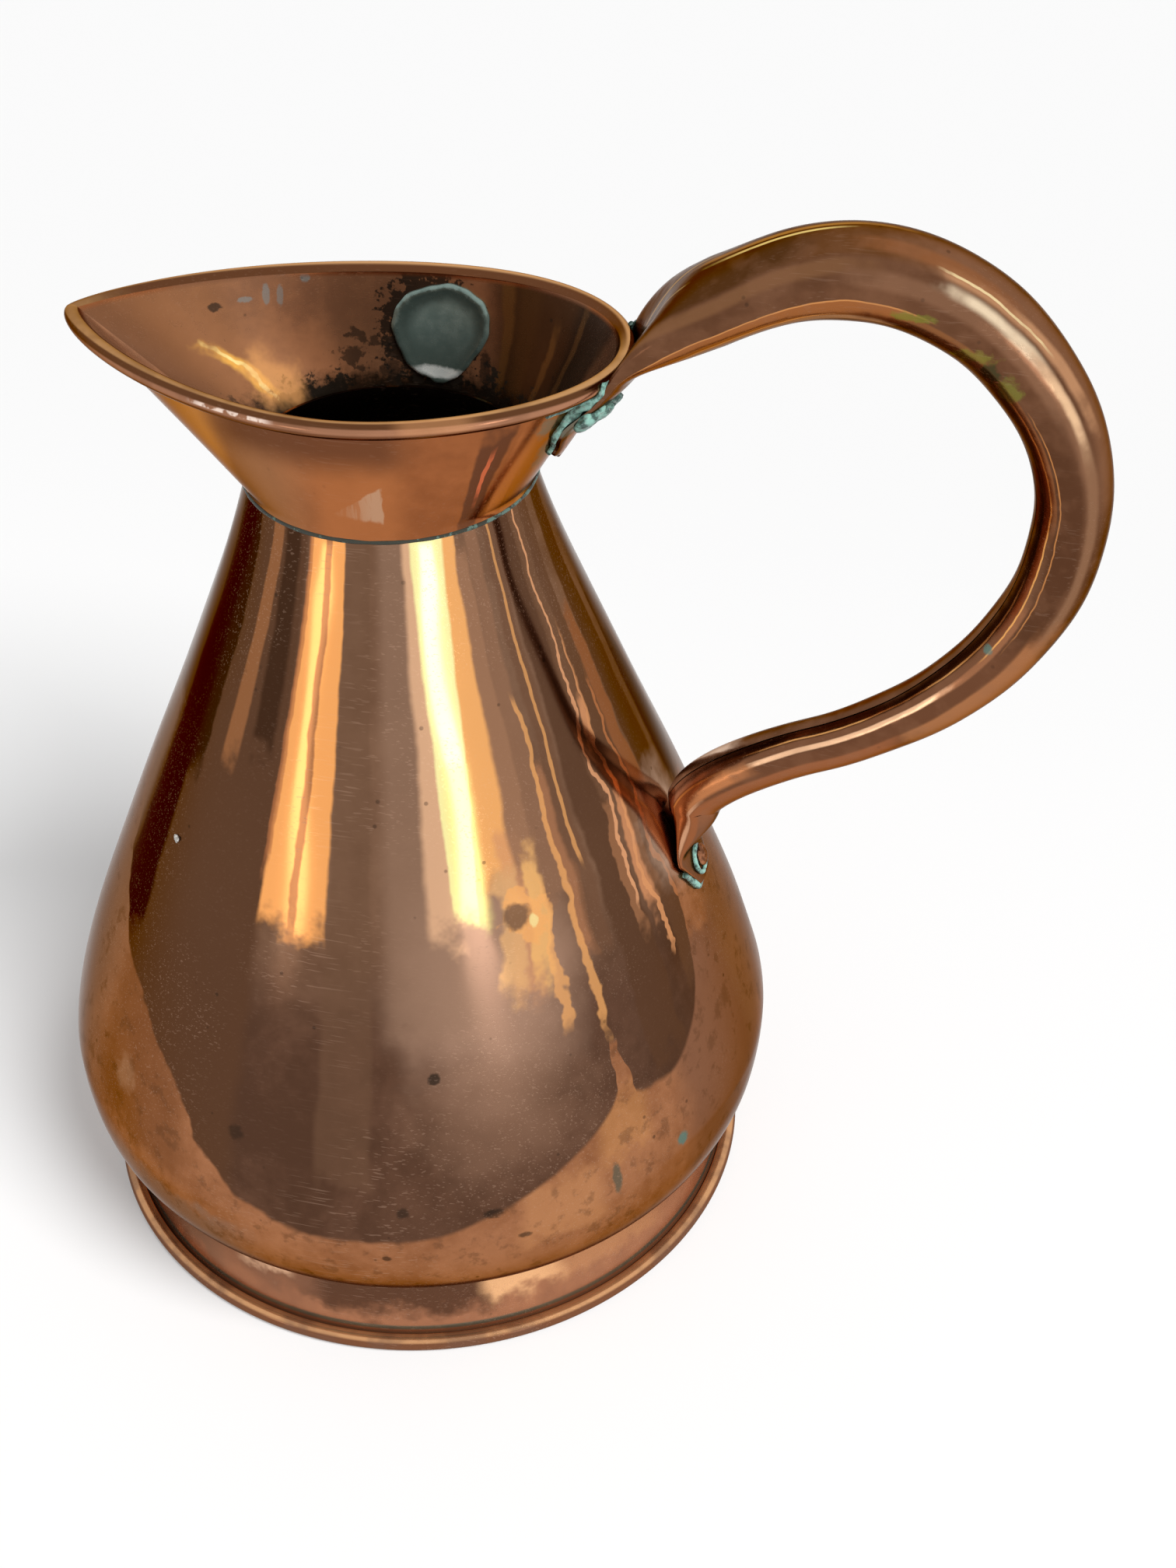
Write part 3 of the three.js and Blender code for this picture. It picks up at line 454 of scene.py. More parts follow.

# Above the line: the dark painted reflection of the room, pale and rose painted highlights, and upright
# painted reflections of windows, the brightest one gold.
low_tone = bench.shade(clouds["Clouds"], 0.35, 0.68, (0.086, 0.04, 0.023), (0.128, 0.061, 0.036))
high_tone = bench.mix(cloudy, (0.17, 0.085, 0.048), (0.23, 0.122, 0.072))
above_colour = bench.shade(height, 134, 178, low_tone, high_tone)
above_highlights = [
    # tone, strength, centre, size, ragged, grain, softness
    (copper_rose, 0.85, (52, -86, 156), (28, 28, 40), 0.9, 0.04, 0.5),
    ((0.27, 0.145, 0.09), 0.5, (58, -98, 112), (28, 28, 20), 1.6, 0.05, 0.5),
]
above_colour = patches_on(bench, above_colour, place, above_highlights)
above_reflections = [
    ((0.32, 0.185, 0.12), 0.6, -70, 8.5, 140, 320, 3, 0.3),
    ((0.16, 0.082, 0.046), 0.5, -86, 4.5, 90, 320, 3, 0.15),
    (copper_dark, 0.95, -129, 24, 60, 320, 4, 0.08),
    (copper_dark, 0.8, -161, 11, 214, 320, 4, 0.2),
    (copper_pale, 0.8, -164, 12, 160, 214, 4, 0.2),
    (copper_black, 0.95, -143, 6.5, 142, 320, 4, 0.12),
    (copper_black, 0.9, -134, 3, 205, 320, 6, 0.2),
    (copper_black, 0.7, -112, 3.4, 222, 320, 4, 0.3),
    ((0.31, 0.125, 0.05), 0.85, -122, 2.8, 218, 320, 3, 0.2, 0, 3),
    (copper_brown, 0.7, -100.5, 1.6, 166, 205, 4, 0.4),
    ((0.97, 0.41, 0.125), 1, -98.6, 7.5, 174, 320, 3, 0.07, -0.6, 1),
    ((0.34, 0.135, 0.055), 0.9, -98.6, 0.9, 174, 320, 4, 0.35, 0.3, 1.5),
    ((0.45, 0.16, 0.06), 0.7, -106, 0.8, 190, 320, 4, 0.4, 0, 2),
    ((0.78, 0.45, 0.26), 0.9, -66, 3.6, 172, 320, 4, 0.3),
    (copper_orange, 0.95, -54, 4.2, 186, 320, 5, 0.12, -0.4, 0.8),
    ((0.7, 0.32, 0.15), 0.7, -50.5, 3, 150, 200, 8, 0.3),
    (copper_gold, 1, -61.9, 2.4, 178, 320, 3, 0.12, 3.4, 1.2),
    ((0.98, 0.84, 0.28), 0.6, -60.5, 3.4, 176, 226, 4, 0.4),
    ((0.36, 0.18, 0.1), 0.9, -47.5, 3, 186, 286, 4, 0.3, -0.6, 0),
    ((0.8, 0.44, 0.19), 0.8, -53, 2.4, 150, 188, 12, 0.3),
    ((0.9, 0.48, 0.17), 0.9, -47.4, 2.2, 153, 192, 12, 0.25, 0, 2),
    ((0.3, 0.15, 0.085), 0.8, -42.5, 2.4, 176, 300, 4, 0.3),
    ((0.38, 0.165, 0.08), 0.9, -38.2, 1.9, 152, 216, 8, 0.25, 0, -1),
    (copper_orange, 0.6, -44.6, 0.8, 138, 182, 12, 0.3, 0, -2),
    (copper_orange, 0.6, -39.5, 0.7, 128, 236, 8, 0.3, 0, -1),
    ((0.17, 0.08, 0.043), 0.7, -35, 2.4, 150, 320, 6, 0.3),
    (copper_orange, 0.55, -34.5, 0.5, 180, 320, 4, 0.3),
    (copper_dark, 0.85, -27, 4.6, 106, 320, 6, 0.15),
    ((0.175, 0.085, 0.045), 0.8, -20.5, 3.4, 196, 320, 8, 0.2),
    ((0.6, 0.26, 0.12), 0.95, -18.2, 2.9, 152, 194, 10, 0.15, 0, 2),
    ((0.7, 0.31, 0.14), 0.85, -19.4, 1.2, 212, 228, 8, 0.3, 0, 1),
    ((0.34, 0.15, 0.07), 0.8, -24.5, 1.6, 150, 192, 14, 0.2, 0, 2),
    ((0.82, 0.39, 0.19), 0.8, -23, 0.5, 160, 320, 12, 0.2, 0, 1.6),
    ((0.75, 0.33, 0.14), 0.8, -18.6, 0.6, 136, 250, 14, 0.2, 0, 0.6),
    ((0.135, 0.062, 0.032), 0.8, -14.2, 3, 120, 320, 8, 0.2),
    ((0.55, 0.2, 0.075), 0.7, -12.4, 0.6, 128, 230, 14, 0.2),
    (copper_warm, 0.9, -8.5, 2.8, 140, 250, 8, 0.25),
    (copper_dark, 0.85, -1, 4.5, 160, 320, 4, 0.15),
    (copper_black, 0.9, 13, 7, 172, 250, 4, 0.2, -6, -4),
    (copper_dark, 0.8, 20, 12, 230, 320, 4, 0.2),
    (copper_rose, 0.7, 34, 5, 176, 320, 6, 0.25),
    (copper_dark, 0.8, 47, 6, 120, 320, 6, 0.2),
    (copper_orange, 0.85, 62, 5, 172, 320, 4, 0.1, 0, 2),
    (copper_gold, 0.8, 63, 1.6, 190, 320, 4, 0.3, 1, 2),
    (copper_dark, 0.7, 84, 8, 96, 320, 6, 0.2),
    (copper_orange, 0.8, 106, 2.6, 170, 320, 4, 0.2),
    (copper_rose, 0.5, 120, 8, 120, 200, 8, 0.5),
    (copper_dark, 0.8, 136, 7, 150, 320, 5, 0.15),
    (copper_orange, 0.6, 152, 3, 186, 320, 4, 0.2),
    (copper_dark, 0.7, 170, 7, 190, 320, 4, 0.2),
]
above_colour = streaks_on(bench, above_colour, turn, height, place, above_reflections)
colour = bench.mix(above_reflection_edge, below_colour, above_colour)
spot_size = (2, 2, 2)
body_spots = [
    # tone, strength, centre, size, ragged, grain, softness
    # The first two are pale painted highlights on dents of the lower belly; the black and green ones are
    # spots of corrosion.
    ((0.42, 0.23, 0.14), 0.5, (-82, -92, 58), (14, 14, 8), 1.6, 0.08, 0.5),
    ((0.42, 0.22, 0.12), 0.6, (-78, -90, 92), (7, 7, 7), 2, 0.12, 0.4),
    (old_black, 0.8, (36.1, -103.9, 128), spot_size, 1, 0.5, 0.3),
    (verdigris_green, 0.9, (111.5, -63.1, 74), (2.6, 2.6, 2.6), 1, 0.5, 0.3),
    (old_black, 0.7, (57.3, -113.6, 78.3), (3.5, 3, 1.8), 1.6, 0.5, 0.4),
    (old_black, 0.7, (67, -110.5, 66.4), (2.2, 2, 1.2), 1.4, 0.5, 0.4),
    (old_black, 0.6, (28.7, -123, 81.8), spot_size, 1.4, 0.5, 0.4),
    (old_black, 0.7, (23.1, -126.9, 61.6), (1.6, 1.6, 1.2), 1, 0.5, 0.3),
    (old_black, 0.5, (-29.9, -116.7, 100.6), (2.6, 2.6, 2.6), 1.4, 0.5, 0.4),
    ((0.1, 0.1, 0.07), 0.8, (93.6, -87, 75), (1.8, 1.8, 8), 0.9, 0.3, 0.3),
    # A pale patch beside the handle's lower root, painted to lighten the dark reflection there; a dent's
    # painted ring of highlight round a darker middle, with a gold painted glint; an orange painted highlight.
    ((0.6, 0.4, 0.29), 0.9, (92, -8, 168), (14, 15, 20), 1, 0.08, 0.5),
    (copper_orange, 0.8, (57.8, -71.1, 173.5), (8.5, 8.5, 8.5), 2.6, 0.1, 0.15),
    (copper_brown, 0.9, (57, -71.8, 174.5), (4.6, 4.6, 5), 1.2, 0.15, 0.25),
    (copper_gold, 0.6, (61.5, -69, 171.5), (1.4, 1.4, 2.2), 1.4, 0.3, 0.3),
    (copper_orange, 0.7, (71, -82, 108), (3, 3, 10), 2, 0.12, 0.2),
]
colour = patches_on(bench, colour, place, body_spots)
colour = bench.mix(bench.times(clouds["Specks"], 0.5), colour, old_black)
within = bench.mark("inside")
colour = bench.mix(within, colour, (0.05, 0.035, 0.028))
gloss = bench.ease(height, 120, 210, 0.21, 0.13)
gloss = bench.scaled(bench.less(clouds["Clouds"], 0.5), 0.1, gloss)
copper_surface(bench, shader, colour, bench.scaled(within, 0.25, gloss), place)
body.data.materials.append(body_copper)
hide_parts("body_shell")
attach(body, "root")

# Base plate and its solder
# A flat copper disc with a turned-down flange, let in to the tucked edge of the body and
# run round underneath with solder. The maker left both dull, because they are out of sight.
fit_gap = 0.3
base_sheet = 1.2
base_radius = tuck_radius - body_sheet - fit_gap
base_top = body_edge_height + 8


def turned_piece(name, profile, steps=round_steps, placed=None, crease=35):
    """A turned piece, its points on the axis joined to one; placed moves it to its own axis."""
    profile = np.array(profile, float)
    rings = turned_rings(profile, steps)
    points = (placed(rings) if placed else rings).reshape(-1, 3)
    tips = set(np.where(profile[:, 0] == 0)[0].tolist())
    keep = [i % len(profile) if i % len(profile) in tips else i for i in range(len(points))]
    joined = [tuple(dict.fromkeys(keep[i] for i in face)) for face in ring_faces(*rings.shape[:2])]
    joined = [face for face in joined if len(face) > 2]
    used = sorted({i for face in joined for i in face})
    place = {old: new for new, old in enumerate(used)}
    return new_piece(name, points[used], [tuple(place[i] for i in face) for face in joined], None, crease)


base_profile = [
    (0, base_top),
    (60, base_top),
    (base_radius - base_sheet, base_top),
    (base_radius - 0.35, base_top - 0.35),
    (base_radius, base_top - base_sheet),
    (base_radius, body_edge_height),
    (base_radius - base_sheet, body_edge_height),
    (base_radius - base_sheet, base_top - 2 * base_sheet),
    (base_radius - 2 * base_sheet, base_top - base_sheet),
    (60, base_top - base_sheet),
    (0, base_top - base_sheet),
]
base_plate = turned_piece("base_disc", base_profile)
base_copper, bench, shader, where = new_material("dull_base_copper")
clouds = bench.group(tarnish, where["Place"])
colour = bench.shade(clouds["Clouds"], 0.3, 0.7, (0.11, 0.055, 0.034), (0.24, 0.12, 0.075))
colour = bench.mix(bench.times(clouds["Specks"], 0.8), colour, old_black)
copper_surface(bench, shader, colour, bench.ease(clouds["Clouds"], 0.3, 0.7, 0.42, 0.55), where["Place"])
base_plate.data.materials.append(base_copper)
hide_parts("bottom_plate")
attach(base_plate, "root")

# A bead of solder run along a path, its thickness uneven as the iron left it.
run_inputs = {"Geometry": "Geometry", "Float": "Radius, Unevenness, Ripple, Seed", "Material": "Metal"}
solder_run, bench, given, out = node_group("solder_run", "Geometry", run_inputs, {"Geometry": "Geometry"})
path = bench.put("GeometryNodeMeshToCurve", {"Mesh": given["Geometry"]}).outputs["Curve"]
spot = bench.put("GeometryNodeInputPosition").outputs[0]
ripple = {"Vector": spot, "W": given["Seed"], "Scale": given["Ripple"], "Detail": 2.0}
ripple = bench.put("ShaderNodeTexNoise", ripple, noise_dimensions="4D").outputs["Fac"]
swell = bench.times(bench.less(ripple, 0.5), given["Unevenness"])
thick = bench.times(given["Radius"], bench.plus(swell, 1))
section = bench.put("GeometryNodeCurvePrimitiveCircle", {"Resolution": 10, "Radius": 1}).outputs["Curve"]
bead = {"Curve": path, "Profile Curve": section, "Scale": thick, "Fill Caps": True}
bead = bench.put("GeometryNodeCurveToMesh", bead).outputs["Mesh"]
bead = bench.put("GeometryNodeSetShadeSmooth", {"Geometry": bead}).outputs["Geometry"]
bead = bench.put("GeometryNodeRealizeInstances", {"Geometry": bead}).outputs["Geometry"]
bead = bench.put("GeometryNodeSetMaterial", {"Geometry": bead, "Material": given["Metal"]}).outputs[0]
bench.feed(out["Geometry"], bead)


def solder_bead(name, points, closed, metal, radius, unevenness, ripple, seed):
    """A bead of solder along points in millimetres, the plain mesh that the tree makes of them."""
    points = (np.asarray(points, float) + (axis_x, 0, 0)) * mm
    count = len(points)
    edges = [(i, (i + 1) % count) for i in range(count if closed else count - 1)]
    mesh = bpy.data.meshes.new("path")
    mesh.from_pydata(points.tolist(), edges, [])
    base = linked("path", mesh)
    modifier = base.modifiers.new("grow", "NODES")
    modifier.node_group = solder_run
    given = {"Radius": radius * mm, "Unevenness": unevenness, "Ripple": ripple, "Seed": seed, "Metal": metal}
    for socket in solder_run.interface.items_tree:
        if socket.name in given:
            modifier[socket.identifier] = given[socket.name]
    bpy.context.view_layer.update()
    shown = base.evaluated_get(bpy.context.evaluated_depsgraph_get())
    mesh = bpy.data.meshes.new_from_object(shown)
    mesh.name = name
    bpy.data.objects.remove(base)
    return linked(name, mesh)


def circle_path(radius, height, steps=240):
    angle = np.arange(steps) / steps * 2 * np.pi
    return np.stack([radius * np.cos(angle), radius * np.sin(angle), np.full(steps, height)], -1)


green_solder, bench, shader, where = new_material("verdigris_solder")
grain = bench.noise(where["Place"], 0.35, 4, 0.65)
colour = bench.shade(grain, 0.4, 0.6, (0.04, 0.085, 0.07), (0.24, 0.45, 0.38))
bare = bench.ease(bench.noise(where["Place"], 0.8, 2), 0.6, 0.7)
colour = bench.mix(bench.times(bare, 0.7), colour, (0.34, 0.36, 0.34))
finish(bench, shader, colour, bench.times(bare, 0.8), bench.ease(grain, 0.3, 0.7, 0.22, 0.55))
bench.feed(shader["Normal"], bump(bench, grain, 0.6, 0.0004))

base_line = circle_path(tuck_radius - 1.3, body_edge_height - 0.5)
base_solder = solder_bead("base_solder_run", base_line, True, green_solder, 1.2, 0.7, 90.0, 3.0)
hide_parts("base_solder")
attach(base_solder, "root")

# Foot band and its wire
# A skirt of sheet copper that laps the tucked body, flares and is rolled outwards round an iron
# wire. The jug stands on the rolled edge, so that is worn to a level ring.
foot_sheet = 0.9
foot_hammering = 0.07
foot_band_height = 32.5
foot_wire_radius = 1.7
foot_curl_outer = foot_wire_radius + fit_gap + foot_sheet
foot_radius = tuck_radius + 9.8
foot_wear = 0.3
foot_arrival = 20
foot_centre = np.array([foot_radius - foot_curl_outer, foot_curl_outer - foot_wear])


def arc(centre, radius, start, sweep, count):
    angle = np.radians(start + sweep * np.linspace(0, 1, count + 1))
    return np.stack([centre[0] + radius * np.cos(angle), centre[1] + radius * np.sin(angle)], 1)


foot_upright = tuck_radius + fit_gap + foot_sheet / 2
arrival = arc(foot_centre, foot_curl_outer - foot_sheet / 2, 180 + foot_arrival, 0, 1)[0]
foot_reach = (body_edge_height - arrival[1]) / 2
before_roll = arrival + (-foot_reach / 2 * math.sin(math.radians(foot_arrival)), foot_reach / 2)
flare_start = (foot_upright, body_edge_height - foot_reach)
foot_flare = curve((foot_upright, body_edge_height), flare_start, before_roll, arrival, 14)
foot_line = np.concatenate([[(foot_upright, foot_band_height), (foot_upright, 27)], foot_flare[:-1]])
foot_curl_out = arc(foot_centre, foot_curl_outer, 180 + foot_arrival, 300, 28)
foot_curl_out[:, 1] = np.maximum(foot_curl_out[:, 1], 0)
foot_curl_in = arc(foot_centre, foot_curl_outer - foot_sheet, 180 + foot_arrival, 300, 28)
foot_sides = [moved_aside(foot_line, foot_sheet / 2 * way) for way in (-1, 1)]
foot_profile = np.concatenate([foot_sides[0], foot_curl_out, foot_curl_in[::-1], foot_sides[1][::-1]])
foot_rings = turned_rings(foot_profile)
above_roll = smooth_step(2, 12, foot_rings[..., 2])[..., None]
foot_rings = foot_rings + (hammered(foot_rings, foot_hammering) - foot_rings) * above_roll
foot_band = ring_piece("foot_band_rolled", foot_rings)
foot_copper, bench, shader, where = new_material("foot_copper")
turn, height, place = where["Turn"], where["Height"], where["Place"]
clouds = bench.group(tarnish, place)
colour = bench.shade(clouds["Clouds"], 0.3, 0.7, (0.31, 0.128, 0.066), (0.43, 0.18, 0.09))
colour = bench.mix(bench.fade(height, 5.2, 6), colour, (0.37, 0.145, 0.065))
near_roll = bench.fade(where["Reach"], foot_radius - 4.6, foot_radius - 3.4)
groove = bench.times(bench.ease(height, 5.3, 5.9), bench.fade(height, 6.6, 7.4), near_roll)
bead_mask = bench.ease(where["Reach"], foot_radius - 5.2, foot_radius - 4.6)
# The wire roll gets a painted highlight along its top and painted shade underneath.
bead_tone = bench.shade(height, 4.1, 4.9, (0.2, 0.078, 0.036), (0.62, 0.32, 0.15))
bead_tone = bench.mix(bench.fade(height, 0.9, 2), bead_tone, (0.13, 0.06, 0.036))
worn = bench.ease(bench.noise(place, 0.05, 3, 0.6), 0.42, 0.6, 0, 0.55)
bead_tone = bench.mix(worn, bead_tone, (0.17, 0.085, 0.055))
# Pale, orange and dark painted reflections round the foot band.
foot_reflections = [
    ((0.088, 0.036, 0.018), 0.9, -80, 18, 13, 40, 8, 0.2),
    ((0.25, 0.11, 0.06), 0.85, -103, 9, 15, 40, 6, 0.3),
    ((0.86, 0.52, 0.32), 0.9, -106, 6, 22, 40, 6, 0.25),
    ((0.95, 0.52, 0.25), 0.9, -56, 8, 17, 40, 6, 0.25, 0, -16),
    (copper_brown, 0.6, -130, 14, 8, 40, 6, 0.3),
    ((0.55, 0.25, 0.11), 0.7, -38, 12, 14, 30, 6, 0.4, 0, -8),
    (copper_brown, 0.6, 30, 16, 8, 40, 6, 0.3),
    (copper_orange, 0.4, 75, 12, 12, 40, 6, 0.3),
    (copper_brown, 0.6, 120, 14, 8, 40, 6, 0.3),
    (copper_orange, 0.3, 160, 12, 12, 40, 6, 0.3),
]
colour = streaks_on(bench, colour, turn, height, place, foot_reflections)
colour = bench.mix(bead_mask, colour, bead_tone)
colour = bench.mix(groove, colour, (0.15, 0.135, 0.095))
colour = bench.mix(bench.times(clouds["Specks"], 0.5), colour, old_black)
copper_surface(bench, shader, colour, bench.ease(clouds["Clouds"], 0.3, 0.7, 0.16, 0.24), place, 0.1, 0.75)
foot_band.data.materials.append(foot_copper)
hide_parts("foot_band")
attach(foot_band, "root")

foot_wire = turned_piece("foot_iron_wire", arc(foot_centre, foot_wire_radius, 0, 360, 16)[:-1])
wire_iron, bench, shader, where = new_material("dark_iron_wire")
rust = bench.noise(where["Place"], 0.4, 4, 0.6)
colour = bench.shade(rust, 0.4, 0.65, (0.09, 0.085, 0.08), (0.12, 0.055, 0.03))
finish(bench, shader, colour, bench.ease(rust, 0.4, 0.65, 0.9, 0.2), bench.ease(rust, 0.4, 0.65, 0.45, 0.8))
foot_wire.data.materials.append(wire_iron)
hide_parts("foot_wire")
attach(foot_wire, "root")

fillet_circle = circle_path(tuck_radius + 2.2, foot_band_height - 0.6)
foot_solder = solder_bead("foot_solder_run", fillet_circle, True, green_solder, 1.3, 0.8, 70.0, 8.0)
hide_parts("foot_solder")
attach(foot_solder, "root")

# Collar and its rim wire
# Bent from one sheet and drawn out to a pouring lip, its top edge rolled outwards round a wire.
# Outside it is polished, with painted reflections and a painted shade under the roll; inside it is tarnished
# and spattered with solder, with painted highlights and shade, and black near the neck from tarnish and
# painted shade.
collar_sheet = 0.9
rim_wire_radius = 1.5
curl_outer = rim_wire_radius + fit_gap + collar_sheet
curl_middle = curl_outer - collar_sheet / 2
wall_radius = neck_radius + fit_gap + collar_sheet / 2
collar_foot = 292.8
wall_foot = collar_foot + 1.5
rim_height = collar_foot + 40.4
spout_reach = neck_radius + 54.95
side_reach = neck_radius + 7.4
back_reach = neck_radius + 28.9
back_rise = 4.4
lip_length_power = 1.8
lip_width_power = 1.28
lip_draw = math.radians(10)
rim_back_radius = side_reach ** 2 / back_reach


def rim_at(turns):
    """The rim's middle line, its outward direction and how far it runs to the front."""
    along, across = np.cos(turns), np.sin(turns)
    front = along > 0
    length = np.where(front, spout_reach, back_reach)
    length_power = np.where(front, lip_length_power, 2)
    width_power = np.where(front, lip_width_power, 2)
    x = -np.sign(along) * length * np.abs(along) ** (2 / length_power)
    y = np.sign(across) * side_reach * np.abs(across) ** (2 / width_power)
    to_lip = -x / np.hypot(x, y)
    climb = back_rise * to_lip * (to_lip - 1) / 2
    slope_x = np.sign(x) * length_power * np.abs(x / length) ** (length_power - 1) / length
    slope_y = np.sign(y) * width_power * np.abs(y / side_reach) ** (width_power - 1) / side_reach
    size = np.hypot(slope_x, slope_y)
    return along, np.stack([x, y, rim_height + climb], -1), np.stack([slope_x / size, slope_y / size], -1)


def rulings_at(turns):
    """The straight lines of the bent wall, from the neck up to the rolled rim."""
    along, rim, out = rim_at(turns)
    away = np.concatenate([out, np.zeros((len(turns), 1))], 1)
    beside = np.stack([-out[:, 1], out[:, 0], np.zeros(len(turns))], 1)
    drawn = np.where(along > 0, lip_draw * np.sin(2 * np.arctan2(out[:, 1], -out[:, 0])), 0)
    swung = np.cos(drawn)[:, None] * away + np.sin(drawn)[:, None] * beside
    neck = wall_radius * swung + (0, 0, wall_foot)
    span = rim - neck
    level = (span * away).sum(1)
    flat = np.hypot(level, span[:, 2])
    lean = np.arctan2(span[:, 2], level) + np.arcsin(curl_middle / flat)
    length = np.sqrt(flat ** 2 - curl_middle ** 2)
    up = away * np.cos(lean)[:, None]
    up[:, 2] = np.sin(lean)
    outward = away * np.sin(lean)[:, None]
    outward[:, 2] = -np.cos(lean)
    drift = beside * ((span * beside).sum(1) / length)[:, None]
    named = {"neck": neck, "rim": rim, "away": away, "up": up, "out": outward}
    return named | {"drift": drift, "lean": lean, "length": length}


def on_wall(ruling, along, out):
    """Points on the wall, measured up the rulings and out from the middle of the sheet."""
    return ruling["neck"] + (ruling["up"] + ruling["drift"]) * along[:, None] + ruling["out"] * out


def shared_turns(count):
    """Turns that share out the facets by the rim's length and by its bending."""
    marks = np.linspace(0, np.pi, 4801)
    _, place, out = rim_at(marks)
    run = np.linalg.norm(np.diff(place, axis=0), axis=1) / (np.pi * wall_radius)
    bend = np.abs(np.diff(np.unwrap(np.arctan2(out[:, 1], out[:, 0])))) / np.pi
    steps = np.concatenate([[0], np.cumsum(run + 1.5 * bend)])
    half = np.interp(np.linspace(0, steps[-1], count // 2 + 1), steps, marks)
    return np.concatenate([half, 2 * np.pi - half[1:-1][::-1]])


collar_turns = shared_turns(320)
rulings = rulings_at(collar_turns)
wall_steps = 26
curl_steps = 22


def collar_side(out):
    foot = rulings["neck"] * (1, 1, 0)
    foot *= ((wall_radius + out) / np.linalg.norm(foot, axis=1))[:, None]
    foot[:, 2] = collar_foot
    length = rulings["length"]
    return [foot] + [on_wall(rulings, length * step / wall_steps, out) for step in range(wall_steps)]


def round_rim(radius, angle):
    """The rim's middle line, moved by a radius at an angle across it."""
    offset = rulings["away"] * (radius * np.cos(angle))[..., None]
    offset[:, 2] += radius * np.sin(angle)
    return rulings["rim"] + offset


def collar_curl(radius):
    start = np.pi - (np.pi / 2 - rulings["lean"])
    sweep = math.radians(292)
    return [round_rim(radius, start - sweep * step / curl_steps) for step in range(curl_steps + 1)]


outer_side = collar_side(collar_sheet / 2)
inner_side = collar_side(-collar_sheet / 2)
roll_out, roll_in = collar_curl(curl_outer), collar_curl(curl_outer - collar_sheet)
collar_rings = np.stack(outer_side[::-1] + inner_side + roll_out + roll_in[::-1], 1)
side_rows = len(outer_side)
collar_inside = np.zeros(collar_rings.shape[:2])
collar_share = np.zeros(collar_rings.shape[:2])
collar_bead = np.full(collar_rings.shape[:2], -1.0)
collar_inside[:, side_rows : 2 * side_rows] = 1
collar_share[:, :side_rows] = (np.arange(side_rows)[::-1] - 1) / wall_steps
collar_bead[:, 2 * side_rows :][:, : curl_steps + 1] = np.linspace(0, 1, curl_steps + 1)
collar_marks = {"inside": collar_inside, "bead": collar_bead, "wall_share": collar_share}
collar = ring_piece("lip_collar", collar_rings, collar_marks)

collar_copper, bench, shader, where = new_material("collar_copper")
turn, height, place = where["Turn"], where["Height"], where["Place"]
clouds = bench.group(tarnish, place)
within = bench.mark("inside")
outside = bench.shade(clouds["Clouds"], 0.3, 0.7, (0.27, 0.086, 0.029), (0.38, 0.125, 0.043))
# Painted reflections on the polished outside: a pale left part, a dark slanted streak with a red highlight,
# and orange streaks.
collar_reflections = [
    ((0.34, 0.165, 0.08), 0.7, -126, 18, 285, 345, 4, 0.9, 10, 0),
    ((0.44, 0.15, 0.05), 0.6, -84, 14, 285, 345, 4, 0.4, 6, 0),
    ((0.66, 0.28, 0.085), 0.9, -150, 12, 285, 345, 4, 0.4, 4, 0),
    ((0.12, 0.046, 0.024), 0.9, -44, 3.8, 294, 333, 8, 0.15, 4, 14),
    ((0.75, 0.17, 0.07), 0.7, -42.6, 0.8, 303, 322, 6, 0.2, 0, 14),
    ((0.52, 0.18, 0.06), 0.8, -33, 3.6, 292, 330, 6, 0.3, 0, 12),
    ((0.46, 0.16, 0.05), 0.8, -24, 5, 285, 340, 6, 0.3, 0, 4),
    ((0.62, 0.25, 0.08), 0.8, -13, 6, 285, 345, 6, 0.3),
    (copper_brown, 0.7, 40, 10, 285, 345, 5, 0.2, 4, 0),
    ((0.45, 0.17, 0.06), 0.7, 64, 6, 285, 345, 5, 0.2, 4, 0),
    (copper_dark, 0.6, 90, 8, 285, 345, 5, 0.2, 4, 0),
    (copper_brown, 0.6, 150, 12, 285, 345, 5, 0.3, 4, 0),
]
outside = streaks_on(bench, outside, turn, height, place, collar_reflections)
collar_patches = [
    (verdigris_green, 0.5, (58, -23, 326), (5, 6, 4), 2.6, 0.3, 0.6),
    (verdigris_green, 0.5, (54.5, -17, 315), (4, 4, 7), 2.6, 0.3, 0.6),
]
# Painted shade along the top of the wall under the rolled rim, strongest at the front.
uneven_share = bench.scaled(bench.noise(place, 0.06, 2), 0.12, bench.mark("wall_share"))
from_front = bench.apart(turn, -100)
under_rim = bench.times(bench.ease(uneven_share, 0.52, 0.84), bench.ease(from_front, 24, 42, 0.85, 0.15))
outside = bench.mix(under_rim, outside, (0.125, 0.046, 0.022))
outside = patches_on(bench, outside, place, collar_patches)
rag = bench.times(bench.swing(place, 0.4, 2), 2)
torn_right = bench.fade(bench.plus(turn, rag), -75.6, -75)
torn_top = bench.scaled(bench.plus(turn, 75), -0.62, height)
torn_top = bench.fade(bench.plus(torn_top, rag), 312.6, 313.4)
torn_foot = bench.ease(bench.plus(bench.scaled(turn, 0.14, height), rag), 288, 289.6)
strands = bench.noise(bench.vector("MULTIPLY", place, (1, 1, 0.12)), 0.5, 2)
strands = bench.ease(strands, 0.42, 0.56, 0.3, 1)
torn_foot = bench.times(torn_foot, bench.ease(turn, -92, -78, 0.15, 1))
torn = bench.times(torn_right, torn_top, torn_foot, bench.ease(turn, -98, -94), strands, 0.55)
outside = bench.mix(torn, outside, (0.56, 0.37, 0.24))
inside = bench.shade(clouds["Clouds"], 0.32, 0.66, (0.25, 0.112, 0.056), (0.4, 0.175, 0.08))
